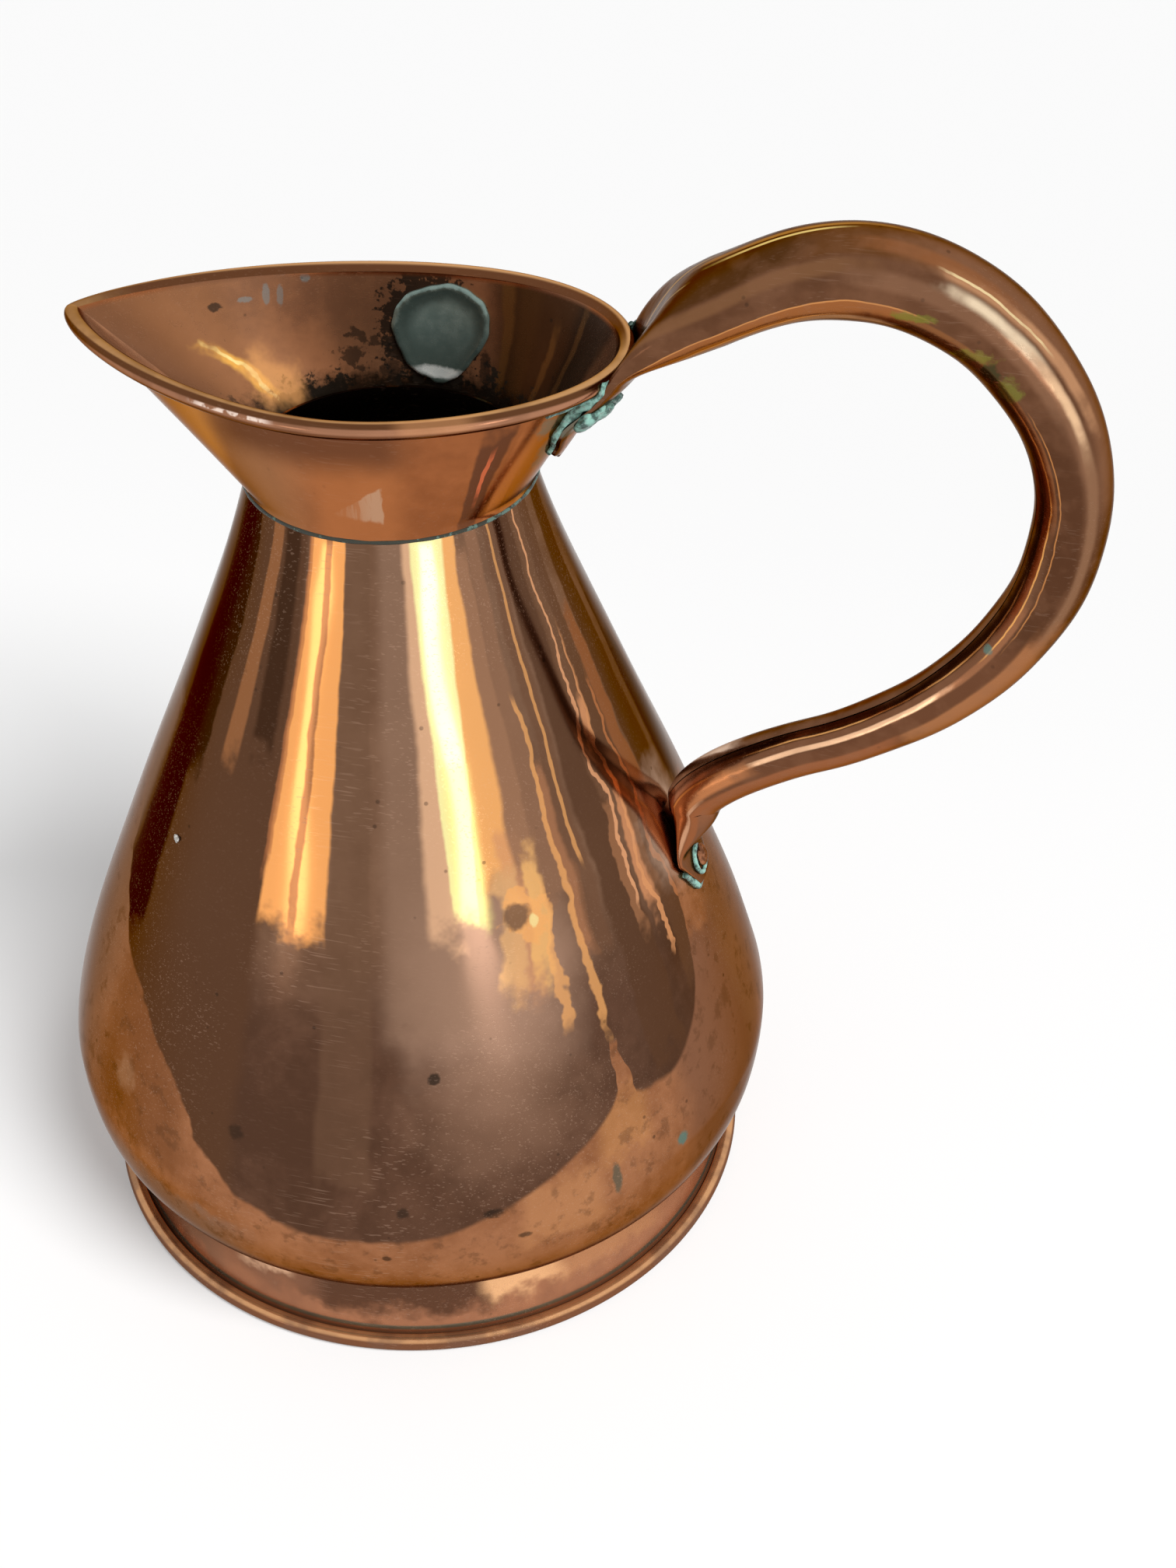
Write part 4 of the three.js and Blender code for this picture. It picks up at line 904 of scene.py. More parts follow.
# Painted inside the collar: a golden highlight streak on the lip side, and dark painted shade with thin gold
# lines towards the handle.
inside_light_and_shade = [
    ((0.17, 0.068, 0.028), 0.85, 178, 9, 285, 350, 5, 0.5, 3, 0),
    ((0.28, 0.115, 0.045), 0.6, 164, 8, 285, 350, 5, 0.5, 3, 0),
    ((0.95, 0.48, 0.09), 0.85, 146.5, 3, 291, 311, 18, 0.4, 0, 78),
    ((1, 0.82, 0.33), 0.95, 148, 1, 293, 310, 24, 0.4, 0, 78),
    ((0.05, 0.022, 0.007), 0.9, 42, 19, 285, 345, 8, 0.35, 6, 0),
    ((0.11, 0.05, 0.016), 0.7, 50, 3.5, 292, 345, 9, 0.6, 2, 0),
    ((0.2, 0.09, 0.024), 0.7, 58, 1.8, 290, 338, 9, 0.5, 1, 0),
    ((0.26, 0.125, 0.035), 0.6, 38, 1.4, 285, 326, 9, 0.5),
    ((0.03, 0.016, 0.008), 0.8, 22, 8, 285, 345, 8, 0.3, 3, 0),
    ((0.24, 0.115, 0.036), 0.5, 28, 1.2, 285, 336, 9, 0.5),
    ((0.2, 0.09, 0.044), 0.6, 112, 14, 300, 345, 8, 0.4, 3, 0),
]
inside = streaks_on(bench, inside, turn, height, place, inside_light_and_shade)
speckle = bench.swing(place, 0.34, 4, 0.7)
soot_reach = bench.scaled(bench.swing(place, 0.07, 3, 0.6), 46, height)
soot = bench.fade(bench.scaled(speckle, 34, soot_reach), 295, 299)
soot = bench.times(soot, bench.ease(bench.apart(turn, 95), 40, 90, 1, 0.5))
inside = bench.mix(bench.times(soot, 0.92), inside, (0.02, 0.019, 0.015))
neck_shade = bench.ease(bench.scaled(speckle, 9, height), 296.5, 304, 0.94, 0)
inside = bench.mix(neck_shade, inside, (0.007, 0.005, 0.003))
grey_metal = (0.24, 0.24, 0.22)
inside_patches = [
    # An orange painted glow round the golden highlight, grey spatters of solder, and black marks round and
    # below the seal.
    (copper_orange, 0.5, (-45, 25.5, 302.5), (12, 7, 8), 2.4, 0.1, 0.6),
    (grey_metal, 0.8, (-46.3, 40.2, 334.3), (2, 2.2, 1.3), 1.2, 0.5, 0.2),
    (grey_metal, 0.8, (-39.1, 42.1, 331.8), (1.6, 1.8, 1.6), 1.2, 0.5, 0.2),
    (grey_metal, 0.7, (-56.2, 32.4, 326.9), (3.4, 1.6, 0.9), 1.2, 0.5, 0.2),
    (grey_metal, 0.7, (-50.5, 36, 327.5), (1, 1.6, 4.4), 1.2, 0.4, 0.2),
    (grey_metal, 0.6, (-46.5, 38, 326.5), (1, 1.6, 3.6), 1.2, 0.4, 0.2),
    (old_black, 0.8, (-64.8, 26.4, 326.1), (2.4, 2.4, 1.2), 1.6, 0.5, 0.2),
    (old_black, 0.9, (0.7, 48, 315.8), (16.6, 14, 19), 1.6, 0.3, 0.06),
    (old_black, 0.7, (-20, 39, 309), (7, 6, 7), 3.6, 0.26, 0.15),
    (old_black, 0.7, (19.5, 42, 305.5), (2, 6, 7), 2.2, 0.3, 0.2),
    (old_black, 0.6, (-12, 42, 302), (4, 6, 8), 3, 0.26, 0.2),
]
inside = patches_on(bench, inside, place, inside_patches)
colour = bench.mix(within, outside, inside)
bead = bench.mark("bead")
rolled = bench.ease(bead, -0.1, 0)
# The rolled rim is painted in bands of light and shade across the roll: a highlight on top, dark below it, a
# band of glints, brown, then shade underneath; the far side and the lip side get their own painted tones.
roll_light_and_shade = [
    # start and end across the roll, tone
    (0.31, 0.36, (0.13, 0.052, 0.021)), (0.45, 0.5, (0.44, 0.205, 0.115)),
    (0.58, 0.64, (0.21, 0.082, 0.038)), (0.72, 0.8, (0.07, 0.028, 0.015)),
]
bead_tone = bench.shade(bead, 0.1, 0.3, (0.62, 0.33, 0.13), (0.58, 0.31, 0.13))
for start, end, tone in roll_light_and_shade:
    bead_tone = bench.mix(bench.ease(bead, start, end), bead_tone, tone)
worn = bench.ease(bench.noise(place, 0.06, 3, 0.6), 0.4, 0.62, 0, 0.3)
bead_tone = bench.mix(worn, bead_tone, (0.14, 0.055, 0.026))
far_rim = bench.times(bench.ease(turn, -6, 12), bench.ease(turn, 168, 182, 1, 0.5))
far_tone = bench.shade(bead, 0.16, 0.26, (0.135, 0.052, 0.022), (0.7, 0.38, 0.17))
far_tone = bench.shade(bead, 0.34, 0.44, far_tone, (0.2, 0.08, 0.034))
bead_tone = bench.mix(far_rim, bead_tone, far_tone)
bead_tone = bench.mix(bench.ease(turn, -84, -68, 0.2, 0), bead_tone, (0.105, 0.04, 0.018))
glint = (bench.ease(bench.apart(turn, -121), 9, 15, 0.9, 0), bench.ease(bead, 0.46, 0.5))
glint = bench.times(*glint, bench.fade(bead, 0.54, 0.58), bench.ease(bench.noise(place, 0.3, 2), 0.4, 0.52))
bead_tone = bench.mix(glint, bead_tone, (1, 0.8, 0.68))
near_bright = (bench.ease(bench.apart(turn, -59), 6, 14, 0.3, 0), bench.ease(bead, 0.22, 0.34))
near_bright = bench.times(*near_bright, bench.fade(bead, 0.55, 0.7))
bead_tone = bench.mix(near_bright, bead_tone, (0.9, 0.42, 0.18))
colour = bench.mix(rolled, colour, bead_tone)
speck_strength = bench.times(clouds["Specks"], bench.scaled(within, 0.5, 0.1))
colour = bench.mix(speck_strength, colour, old_black)
gloss = bench.scaled(within, 0.12, bench.ease(clouds["Clouds"], 0.3, 0.7, 0.13, 0.19))
gloss = bench.scaled(bench.times(soot, within), 0.2, gloss)
metallic = bench.scaled(bench.times(within, bench.less(1, rolled)), -0.45, 1)
copper_surface(bench, shader, colour, gloss, place, 0.1, metallic, 0.15)
collar.data.materials.append(collar_copper)
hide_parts("collar")
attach(collar, "root")

wire_angles = 2 * np.pi * np.arange(14) / 14
wire_rings = np.stack([round_rim(rim_wire_radius, angle) for angle in wire_angles], 1)
rim_wire = ring_piece("rim_iron_wire", wire_rings)
rim_wire.data.materials.append(wire_iron)
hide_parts("rim_wire")
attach(rim_wire, "root")

dark_solder, bench, shader, where = new_material("darkened_solder")
grain = bench.noise(where["Place"], 0.3, 4, 0.65)
near_handle = bench.ease(bench.apart(where["Turn"], -16), 10, 34, 0.12, 0)
green = bench.ease(bench.plus(grain, near_handle), 0.56, 0.64)
colour = bench.mix(green, (0.034, 0.036, 0.026), (0.11, 0.18, 0.15))
finish(bench, shader, colour, 0.3, bench.ease(grain, 0.3, 0.7, 0.35, 0.6))
bench.feed(shader["Normal"], bump(bench, grain, 0.5, 0.0003))

neck_line = circle_path(neck_radius + 0.8, collar_foot - 0.5)
neck_solder = solder_bead("neck_solder_run", neck_line, True, dark_solder, 0.85, 0.9, 110.0, 5.0)
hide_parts("neck_solder")
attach(neck_solder, "root")

# Handle
# A tapered tube of sheet copper, bent to a loop with its open seam on the inner side. Its upper end
# is hammered to a blade that hugs the rim and turns in under it; its lower end is a flat plate.
handle_sheet = 1.0
blade_half_width = 20.8
root_half_width = 22.4
lower_root_height = 171.3
root_widest = 22
root_half_depth = 11
root_rounding = 25
blade_half_depth = 1.3
crown_radius = 13.9
reach_radius = 11.5
waist_radius = 9.3
tab_half_width = 14.5
tab_half_depth = 1.25
tab_length = 31
tab_shoulder = 17
tab_point_length = 14
tab_tip_half_width = 6.5
tab_aside = -1.5
tongue_tip = 13
tongue_tip_half_width = 3.2
tongue_drop = 20
seam_turn = 20
seam_gap = 0.5
back = {key: value[0] for key, value in rulings_at(np.array([np.pi])).items()}
rim_back = np.array([back["rim"][0], back["rim"][2]])


def heading(degrees):
    return np.array([math.cos(math.radians(degrees)), math.sin(math.radians(degrees))])


def tongue_at(along):
    spot = back["neck"] + (back["up"] + back["drift"]) * along
    spot = spot + back["out"] * (collar_sheet / 2 + fit_gap + blade_half_depth)
    return spot[[0, 2]]


def run_lengths(line):
    """How far each point of a line lies along it."""
    return np.concatenate([[0], np.cumsum(np.linalg.norm(np.diff(line, axis=0), axis=1))])


def spot_along(at, runs, line):
    return np.array([np.interp(at, runs, line[:, i]) for i in (0, 1)])


def way_along(at, runs, line, ahead):
    """The direction of a flat line, measured over a short stretch ahead."""
    step = spot_along(at + ahead, runs, line) - spot_along(at, runs, line)
    return step / np.linalg.norm(step)


flank_fine = curve(belly, *flank_bend, 800)
flank_run = run_lengths(flank_fine)
root_run = np.interp(lower_root_height, flank_fine[:, 1], flank_run)


def below_root(distance):
    """A place on the flank at a distance down from the handle's lower root, and its way out."""
    run = way_along(root_run - distance, flank_run, flank_fine, 0.5)
    return spot_along(root_run - distance, flank_run, flank_fine), np.array([run[1], -run[0]])


def tab_at(distance, half_depth):
    at, out = below_root(distance)
    return at + out * (fit_gap + half_depth)


blade = rim_back + (curl_outer + fit_gap + blade_half_depth + 0.25, -curl_outer * 0.25)
crown = rim_back + (68.9, 34.6)
far_side = rim_back + (136, -37.3)
foot = tab_at(0, waist_radius)
waist = foot + (41, 30)
tongue_run = np.array([math.cos(back["lean"]), math.sin(back["lean"])])
tongue_top = tongue_at(back["length"] - tongue_drop)
under_rim = np.linalg.norm(tongue_top - blade) / 3
rise, reach = crown[1] - blade[1], crown[0] - blade[0]
out_run, fall = far_side[0] - crown[0], crown[1] - far_side[1]
sweep = far_side[1] - waist[1]
bends = [
    curve(tongue_at(tongue_tip), tongue_at(tongue_tip + 2), tongue_top - tongue_run * 2, tongue_top, 60),
    curve(tongue_top, tongue_top + tongue_run * under_rim * 0.7, blade - heading(66) * under_rim, blade, 80),
    curve(blade, blade + heading(66) * rise * 0.43, crown - (reach * 0.41, 0), crown, 200),
    curve(crown, crown + (out_run * 0.52, 0), far_side + (0, fall * 0.51), far_side, 200),
    curve(far_side, far_side - (0, sweep * 0.46), waist + heading(25.6) * sweep * 0.43, waist, 200),
    curve(waist, waist - heading(25.6) * 41 * 0.36, foot + heading(65) * 30 * 0.4, foot, 100),
]
loop_line = np.concatenate([bends[0]] + [b[1:] for b in bends[1:]])
loop_run = run_lengths(loop_line)
ends = np.cumsum([len(b) - 1 for b in bends])
tongue_end, bend_end, crown_end, far_end, waist_end, foot_end = loop_run[ends]


def eased(rows, where):
    """Smooth steps between named values: rows are (where, value)."""
    if where <= rows[0][0]:
        return rows[0][1]
    for (start, low), (end, high) in zip(rows, rows[1:]):
        if where < end:
            share = (where - start) / (end - start)
            return low + (high - low) * share * share * (3 - 2 * share)
    return rows[-1][1]


width_rows = [
    (0, tongue_tip_half_width + 1.2),
    (tongue_end * 0.45, blade_half_width * 0.74),
    (tongue_end, blade_half_width * 0.96),
    (bend_end, blade_half_width),
    (bend_end + root_widest, root_half_width),
    (crown_end, crown_radius),
    (far_end, reach_radius),
    (waist_end, waist_radius),
    (foot_end, waist_radius * 1.1),
]
depth_rows = [
    (bend_end - 6, blade_half_depth),
    (bend_end + root_rounding + 9, root_half_depth),
    (crown_end, crown_radius),
    (far_end, reach_radius),
    (waist_end, waist_radius),
]
square_rows = [(bend_end, 4), (bend_end + root_rounding + 6, 2)]
wrap_rows = [
    (tongue_end, 1 / wall_radius),
    (bend_end, 1 / (rim_back_radius + curl_outer)),
    (bend_end + 2 * root_rounding, 0),
]
wrap_at_tab = 1 / below_root(0)[0][0]
stations = []
blade_runs = (np.linspace(0, bend_end, 40)[:-1], np.linspace(bend_end, bend_end + 60, 44)[:-1])
for along in np.concatenate([*blade_runs, np.linspace(bend_end + 60, foot_end, 230)]):
    section = [eased(rows, along) for rows in (width_rows, depth_rows, square_rows, wrap_rows)]
    stations.append((spot_along(along, loop_run, loop_line), *section, along))
for step in range(1, 41):
    along = tab_length * step / 40
    half_depth = eased([(0, waist_radius), (tab_shoulder, tab_half_depth)], along)
    wide = eased([(5, waist_radius * 1.1), (tab_shoulder + 5, tab_half_width)], along)
    to_point = max(along - (tab_length - tab_point_length), 0) / tab_point_length
    edge = tab_half_width + (tab_tip_half_width - tab_half_width) * to_point
    square = eased([(0, 2), (tab_shoulder, 4)], along)
    wrap = eased([(0, 0), (tab_shoulder, wrap_at_tab)], along)
    stations.append((tab_at(along, half_depth), min(wide, edge), half_depth, square, wrap, foot_end + along))

section_steps = 72


def seamed_outline(half_width, half_depth, power):
    """A rounded outline from the seam once round to the seam again, and each point's angle."""
    start = math.radians(-90 - seam_turn)

    def at(angle):
        across = np.cos(angle)
        depth = (1 - np.abs(across) ** power) ** (1 / power)
        return np.stack([half_width * across, half_depth * np.sign(np.sin(angle)) * depth], -1)

    speed = np.linalg.norm(at(np.array(start + 0.01)) - at(np.array(start - 0.01))) / 0.02
    half = seam_gap / 2 / speed
    angles = start + half + (2 * np.pi - 2 * half) * np.arange(section_steps + 1) / section_steps
    return at(angles), angles


middles = np.array([s[0] for s in stations])
runs = np.gradient(middles, axis=0)
runs /= np.linalg.norm(runs, axis=1)[:, None]
handle_rings = []
handle_marks = []
for (middle, half_width, half_depth, power, wrap, along), run in zip(stations, runs):
    outer_way = np.array([-run[1], run[0]])
    outline, angles = seamed_outline(half_width, half_depth, power)
    core, _ = seamed_outline(half_width - handle_sheet, half_depth - handle_sheet, power)
    wave = 0.12 * np.sin(along / 9 + 3 * angles) + 0.1 * np.sin(along / 17 - 2 * angles + 1)
    wave = wave + 0.07 * np.sin(along / 5 + angles)
    steady = smooth_step(bend_end + 6, bend_end + 30, along) * (1 - smooth_step(waist_end, foot_end, along))
    outline = outline * (1 + (wave * steady / half_depth))[:, None]
    section = np.concatenate([outline, core[::-1]])
    x = middle[0] + outer_way[0] * section[:, 1] - wrap * section[:, 0] ** 2 / 2
    z = middle[1] + outer_way[1] * section[:, 1]
    aside = tab_aside * smooth_step(foot_end - 8, foot_end + 14, along)
    handle_rings.append(np.stack([x, section[:, 0] + aside, z], -1))
    degrees = np.degrees(np.concatenate([angles, angles[::-1]]))
    handle_marks.append([degrees, np.full(len(section), along), np.repeat([0, 1], len(core))])
handle_rings = np.array(handle_rings)
handle_faces = ring_faces(*handle_rings.shape[:2], closed=False)
last = 2 * section_steps + 1
far_cap = (len(handle_rings) - 1) * (last + 1)
for k in range(section_steps):
    quad = (k, k + 1, last - k - 1, last - k)
    handle_faces.append(tuple(reversed(quad)))
    handle_faces.append(tuple(far_cap + q for q in quad))
handle_marks = dict(zip(("round", "along", "inside"), np.stack(handle_marks, 1)))
handle = new_piece("loop_handle", handle_rings, handle_faces, handle_marks)

handle_copper, bench, shader, where = new_material("handled_copper")
place = where["Place"]
clouds = bench.group(tarnish, place)
within = bench.mark("inside")
colour = bench.shade(clouds["Clouds"], 0.3, 0.7, (0.125, 0.052, 0.025), (0.185, 0.082, 0.042))
# Painted reflections and highlights along the handle, placed by the angle round its section and the distance
# along it.
handle_reflections = [
    ((0.22, 0.1, 0.045), 0.9, 151, 9, bend_end - 12, crown_end, 12, 0.5),
    ((0.24, 0.105, 0.052), 0.9, 112, 22, crown_end, far_end - 8, 12, 0.4),
    ((0.25, 0.12, 0.065), 0.9, 163, 10, crown_end, far_end - 14, 12, 0.5),
    ((0.12, 0.05, 0.017), 0.9, 88, 60, bend_end - 30, bend_end + 22, 6, 0.1),
    ((0.085, 0.032, 0.009), 0.95, 102, 37, bend_end + 4, bend_end + 62, 10, 0.12),
    ((0.8, 0.5, 0.14), 0.85, 76, 2.2, bend_end - 2, bend_end + 34, 4, 0.4),
    ((0.14, 0.052, 0.015), 0.9, 112, 26, bend_end + 62, crown_end + 10, 14, 0.2),
    ((0.62, 0.3, 0.08), 0.9, 85, 3.6, bend_end + 32, crown_end + 6, 10, 0.4),
    ((1, 0.74, 0.26), 0.95, 95, 2, bend_end + 42, crown_end - 6, 6, 0.4),
    ((0.95, 0.7, 0.33), 0.85, 106, 1.4, bend_end + 10, bend_end + 26, 8, 0.4),
    ((0.58, 0.29, 0.145), 0.9, 131, 8, crown_end + 18, crown_end + 72, 14, 0.5, 0, -6),
    ((0.3, 0.11, 0.04), 0.8, 122, 9, crown_end + 2, crown_end + 34, 12, 0.5),
    ((0.97, 0.76, 0.52), 0.95, 149, 6, crown_end + 24, crown_end + 52, 12, 0.8),
    ((0.8, 0.5, 0.3), 0.9, 149, 4.5, crown_end + 48, far_end - 32, 12, 0.9),
    ((1, 0.78, 0.42), 0.9, 131, 1.6, crown_end + 20, crown_end + 46, 20, 0.4),
    ((0.93, 0.59, 0.34), 0.8, 150, 5, far_end - 52, far_end - 24, 12, 0.8),
    ((0.3, 0.15, 0.08), 0.8, 150, 8, far_end - 30, far_end + 40, 12, 0.6),
    ((0.1, 0.04, 0.019), 0.9, 184, 21, far_end - 38, far_end + 48, 12, 0.3),
    ((0.35, 0.122, 0.038), 0.95, 204, 12.5, bend_end + 3, crown_end + 18, 10, 0.08),
    ((0.27, 0.105, 0.038), 0.9, 206, 9, crown_end + 18, crown_end + 40, 12, 0.2),
    ((0.46, 0.24, 0.125), 0.9, 221, 5, bend_end - 2, crown_end + 8, 4, 0.3),
    ((0.75, 0.33, 0.11), 0.8, 214, 1.2, bend_end + 8, crown_end - 6, 8, 0.4),
    ((0.26, 0.09, 0.032), 0.9, 210, 7, crown_end + 34, far_end - 4, 12, 0.2),
    ((0.24, 0.055, 0.014), 0.9, 221, 6, far_end - 38, far_end + 44, 12, 0.2),
    ((0.075, 0.024, 0.006), 0.95, 240, 13, far_end - 30, waist_end + 24, 8, 0.15),
    ((0.11, 0.042, 0.014), 0.9, 226, 9, crown_end + 20, far_end - 30, 12, 0.3),
    ((0.42, 0.17, 0.07), 0.9, 150, 25, far_end + 36, waist_end - 30, 10, 0.2),
    ((0.34, 0.12, 0.05), 0.9, 152, 27, waist_end - 26, foot_end + 6, 10, 0.2),
    ((0.155, 0.062, 0.03), 0.9, 188, 13, far_end + 44, foot_end, 10, 0.3),
    ((0.34, 0.14, 0.065), 0.9, 208, 6, far_end + 32, far_end + 76, 10, 0.4),
    ((0.2, 0.085, 0.042), 0.9, 221, 6, far_end + 40, waist_end + 26, 6, 0.4),
    ((0.96, 0.57, 0.335), 0.95, 209, 5, far_end + 72, waist_end + 20, 6, 0.35),
    ((0.36, 0.145, 0.055), 0.9, 208, 6, waist_end + 22, foot_end - 4, 8, 0.4),
    ((0.95, 0.45, 0.13), 0.8, 213, 1.3, crown_end + 60, far_end + 52, 20, 0.4),
    ((0.66, 0.27, 0.085), 0.7, 198, 1, crown_end + 70, far_end + 40, 22, 0.4),
    ((0.85, 0.42, 0.14), 0.8, 231, 1.6, far_end + 20, waist_end + 20, 10, 0.4),
    ((0.75, 0.33, 0.11), 0.7, 192, 1.1, bend_end + 6, crown_end + 20, 10, 0.4),
    ((0.72, 0.39, 0.25), 0.9, 237, 14, waist_end + 34, foot_end + 40, 6, 0.2),
    ((0.56, 0.21, 0.08), 0.9, 204, 18, waist_end + 26, foot_end + 36, 6, 0.3),
    ((0.95, 0.46, 0.15), 0.85, 219, 2, waist_end + 36, foot_end + 30, 6, 0.4),
    ((0.33, 0.11, 0.042), 0.9, 172, 8, foot_end - 12, foot_end + 34, 8, 0.4),
    ((0.8, 0.42, 0.24), 0.7, 184, 3.5, foot_end - 4, foot_end + 30, 6, 0.4),
    ((0.22, 0.095, 0.05), 0.7, 140, 24, foot_end + 2, foot_end + 40, 6, 0.3),
    ((0.32, 0.17, 0.1), 0.6, 78, 8, crown_end + 40, waist_end, 8, 0.5),
    ((0.115, 0.043, 0.018), 0.8, 44, 17, bend_end, far_end + 60, 14, 0.35),
    ((0.34, 0.155, 0.085), 0.8, 14, 13, bend_end - 10, far_end + 60, 14, 0.5),
    ((0.125, 0.05, 0.025), 0.8, -18, 13, bend_end + 20, far_end + 80, 14, 0.4),
    ((0.45, 0.18, 0.06), 0.8, -44, 7, bend_end + 20, foot_end - 20, 14, 0.4),
    ((0.12, 0.035, 0.01), 0.9, -76, 18, bend_end + 30, waist_end - 10, 10, 0.3),
    ((0.86, 0.62, 0.47), 0.95, -78, 34, waist_end + 28, foot_end + 40, 8, 0.2),
    ((0.6, 0.32, 0.2), 0.9, -30, 16, waist_end + 28, foot_end + 40, 8, 0.3),
    ((0.56, 0.24, 0.105), 0.9, -80, 60, -6, bend_end - 8, 8, 0.2),
    ((0.56, 0.24, 0.105), 0.9, 232, 22, -6, bend_end - 8, 8, 0.2),
]
colour = streaks_on(bench, colour, bench.mark("round"), bench.mark("along"), place, handle_reflections, 8)
handle_patches = [
    ((0.2, 0.2, 0.03), 0.7, (157.6, -13.1, 366), (6, 5, 1.6), 2.4, 0.25, 0.3),
    ((0.22, 0.2, 0.03), 0.7, (176.2, -11.6, 355.5), (5, 5, 2.4), 2.6, 0.3, 0.4),
    ((0.05, 0.05, 0.02), 0.8, (181.5, -11.3, 350.7), (3, 5, 3), 2.4, 0.3, 0.3),
    ((0.2, 0.19, 0.035), 0.7, (187, -12.2, 345.5), (3.6, 5, 3.4), 2.6, 0.3, 0.4),
    (verdigris_green, 0.8, (191.7, -8.4, 256.1), (1.6, 1.6, 1.6), 1, 0.5, 0.3),
    (verdigris_green, 0.5, (64.8, -17.2, 323.6), (6, 6, 5), 2.4, 0.18, 0.3),
]
colour = patches_on(bench, colour, place, handle_patches)
colour = bench.mix(within, colour, (0.045, 0.028, 0.02))
colour = bench.mix(bench.times(clouds["Specks"], 0.4), colour, old_black)
gloss = bench.scaled(within, 0.3, bench.ease(clouds["Clouds"], 0.3, 0.7, 0.17, 0.26))
mottled = bench.noise(place, 0.1, 3, 0.55)
colour = bench.mix(bench.ease(mottled, 0.45, 0.65, 0, 0.18), colour, (0.3, 0.14, 0.075))
copper_surface(bench, shader, colour, gloss, place, 0.15, 1.0, 0.2)
scratched = shader["Normal"].links[0].from_socket
beaten = bump(bench, bench.noise(place, 0.09, 2, 0.5), 0.5, 0.0006, Normal=scratched)
bench.feed(shader["Normal"], beaten)
handle.data.materials.append(handle_copper)
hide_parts("handle")
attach(handle, "root")

# Solder at the handle's two ends
# Under the rim the pocket between tongue, collar and roll is filled with solder that has crusted
# green; at the foot a fillet follows the plate's blunt point.
def closed_run(name, rings, metal):
    """A run of rings with a face over each end."""
    count, width = rings.shape[:2]
    faces = ring_faces(count, width, closed=False)
    faces += [tuple(range(width - 1, -1, -1)), tuple(width * (count - 1) + k for k in range(width))]
    made = new_piece(name, rings, faces, crease=80)
    made.data.materials.append(metal)
    return made


def lumpy_run(name, centres, long_ways, thick_ways, swirl):
    """A run of solder with an oval section, lumpy along its length and closed at both ends."""
    centres = np.asarray(centres)[:, None]
    number = np.arange(len(centres))[:, None, None]
    angle = (2 * math.pi * np.arange(24) / 24)[:, None]
    closing = np.maximum(1 - abs(2 * number / (len(centres) - 1) - 1) ** 6, 0.12)
    lump = 1 + 0.17 * np.sin(3 * angle + number * 0.9 + swirl) + 0.14 * np.sin(2 * angle - number * 0.5)
    ways = [np.broadcast_to(way, (len(centres), 3))[:, None] for way in (long_ways, thick_ways)]
    across_run = ways[0] * np.cos(angle) + ways[1] * np.sin(angle)
    return closed_run(name, centres + across_run * lump * closing, green_solder)


on_back_wall = back["neck"] + back["out"] * (collar_sheet / 2 + fit_gap)
wall_low = on_back_wall + back["up"] * (back["length"] - tongue_drop + 5)
wall_high = on_back_wall + back["up"] * (back["length"] - curl_outer - 1)
crust_across = np.linspace(-20, 20, 44)
crust_sag = -crust_across ** 2 / 2 / (rim_back_radius + curl_outer)
crust_middles = (wall_low + wall_high) / 2 + np.array([1.6, 0, -0.6])
crust_middles = crust_middles + np.stack([crust_sag, crust_across, 0 * crust_across], -1)
crust = lumpy_run("tongue_solder_crust", crust_middles, back["up"] * 6.0, back["out"] * 2.1, 0.0)
lump_along = tongue_end + 0.42 * (bend_end - tongue_end)
lump_middle = spot_along(lump_along, loop_run, loop_line)
lump_run = way_along(lump_along, loop_run, loop_line, 1)
lump_middle = lump_middle + np.array([lump_run[1], -lump_run[0]]) * (blade_half_depth + 0.2)
lump_across = np.linspace(-23.0, -3.0, 30)
lump_line = [(lump_middle[0] - y ** 2 / 2 / wall_radius, y, lump_middle[1]) for y in lump_across]
lump_long, lump_thick = np.array([[lump_run[0], 0, lump_run[1]], [lump_run[1], 0, -lump_run[0]]])
face_lump = lumpy_run("tongue_solder_face_lump", lump_line, lump_long * 5.2, lump_thick * 2.0, 2.0)
back_wall = rulings_at(np.linspace(np.pi - 0.9, np.pi + 0.9, 181))
seats = []
for share in np.linspace(0.2, 1, 81):
    seats.append(on_wall(back_wall, back_wall["length"] * share, collar_sheet / 2))
for angle in np.radians(np.arange(-80, 61, 10)):
    on_roll = back_wall["away"] * curl_outer * math.cos(angle) + (0, 0, curl_outer * math.sin(angle))
    seats.append(back_wall["rim"] + on_roll)
seats = np.concatenate(seats)
edge_solders = [face_lump]
for side_name, way, seed in (("left", -1, 4.0), ("right", 1, 9.0)):
    web_edges = []
    web_feet = []
    for middle, half_width, half_depth, power, wrap, along in stations:
        if tongue_end * 0.2 <= along <= bend_end + 7:
            edge = np.array([middle[0] - wrap * half_width ** 2 / 2, way * (half_width - 0.8), middle[1]])
            aim = edge + (0, way * 1.6, 0)
            web_edges.append(edge)
            web_feet.append(seats[np.argmin(((seats - aim) ** 2).sum(1))])
    web_edges = np.array(web_edges)
    web_feet = np.array(web_feet)
    spans = np.linalg.norm(web_feet - web_edges, axis=1)[:, None]
    reaches = (web_feet - web_edges) / spans
    thick_ways = np.cross(reaches, np.gradient(web_edges, axis=0))
    thick_ways /= np.linalg.norm(thick_ways, axis=1)[:, None]
    web_line = web_edges * 0.38 + web_feet * 0.62
    web_name = "tongue_solder_web_" + side_name
    edge_solders.append(lumpy_run(web_name, web_line, reaches * (spans * 0.34 + 0.2), thick_ways, seed))
    foot_line = (web_feet - reaches * 0.6)[2:]
    run = solder_bead("tongue_solder_" + side_name, foot_line, False, green_solder, 0.75, 1.2, 190.0, seed)
    edge_solders.append(run)
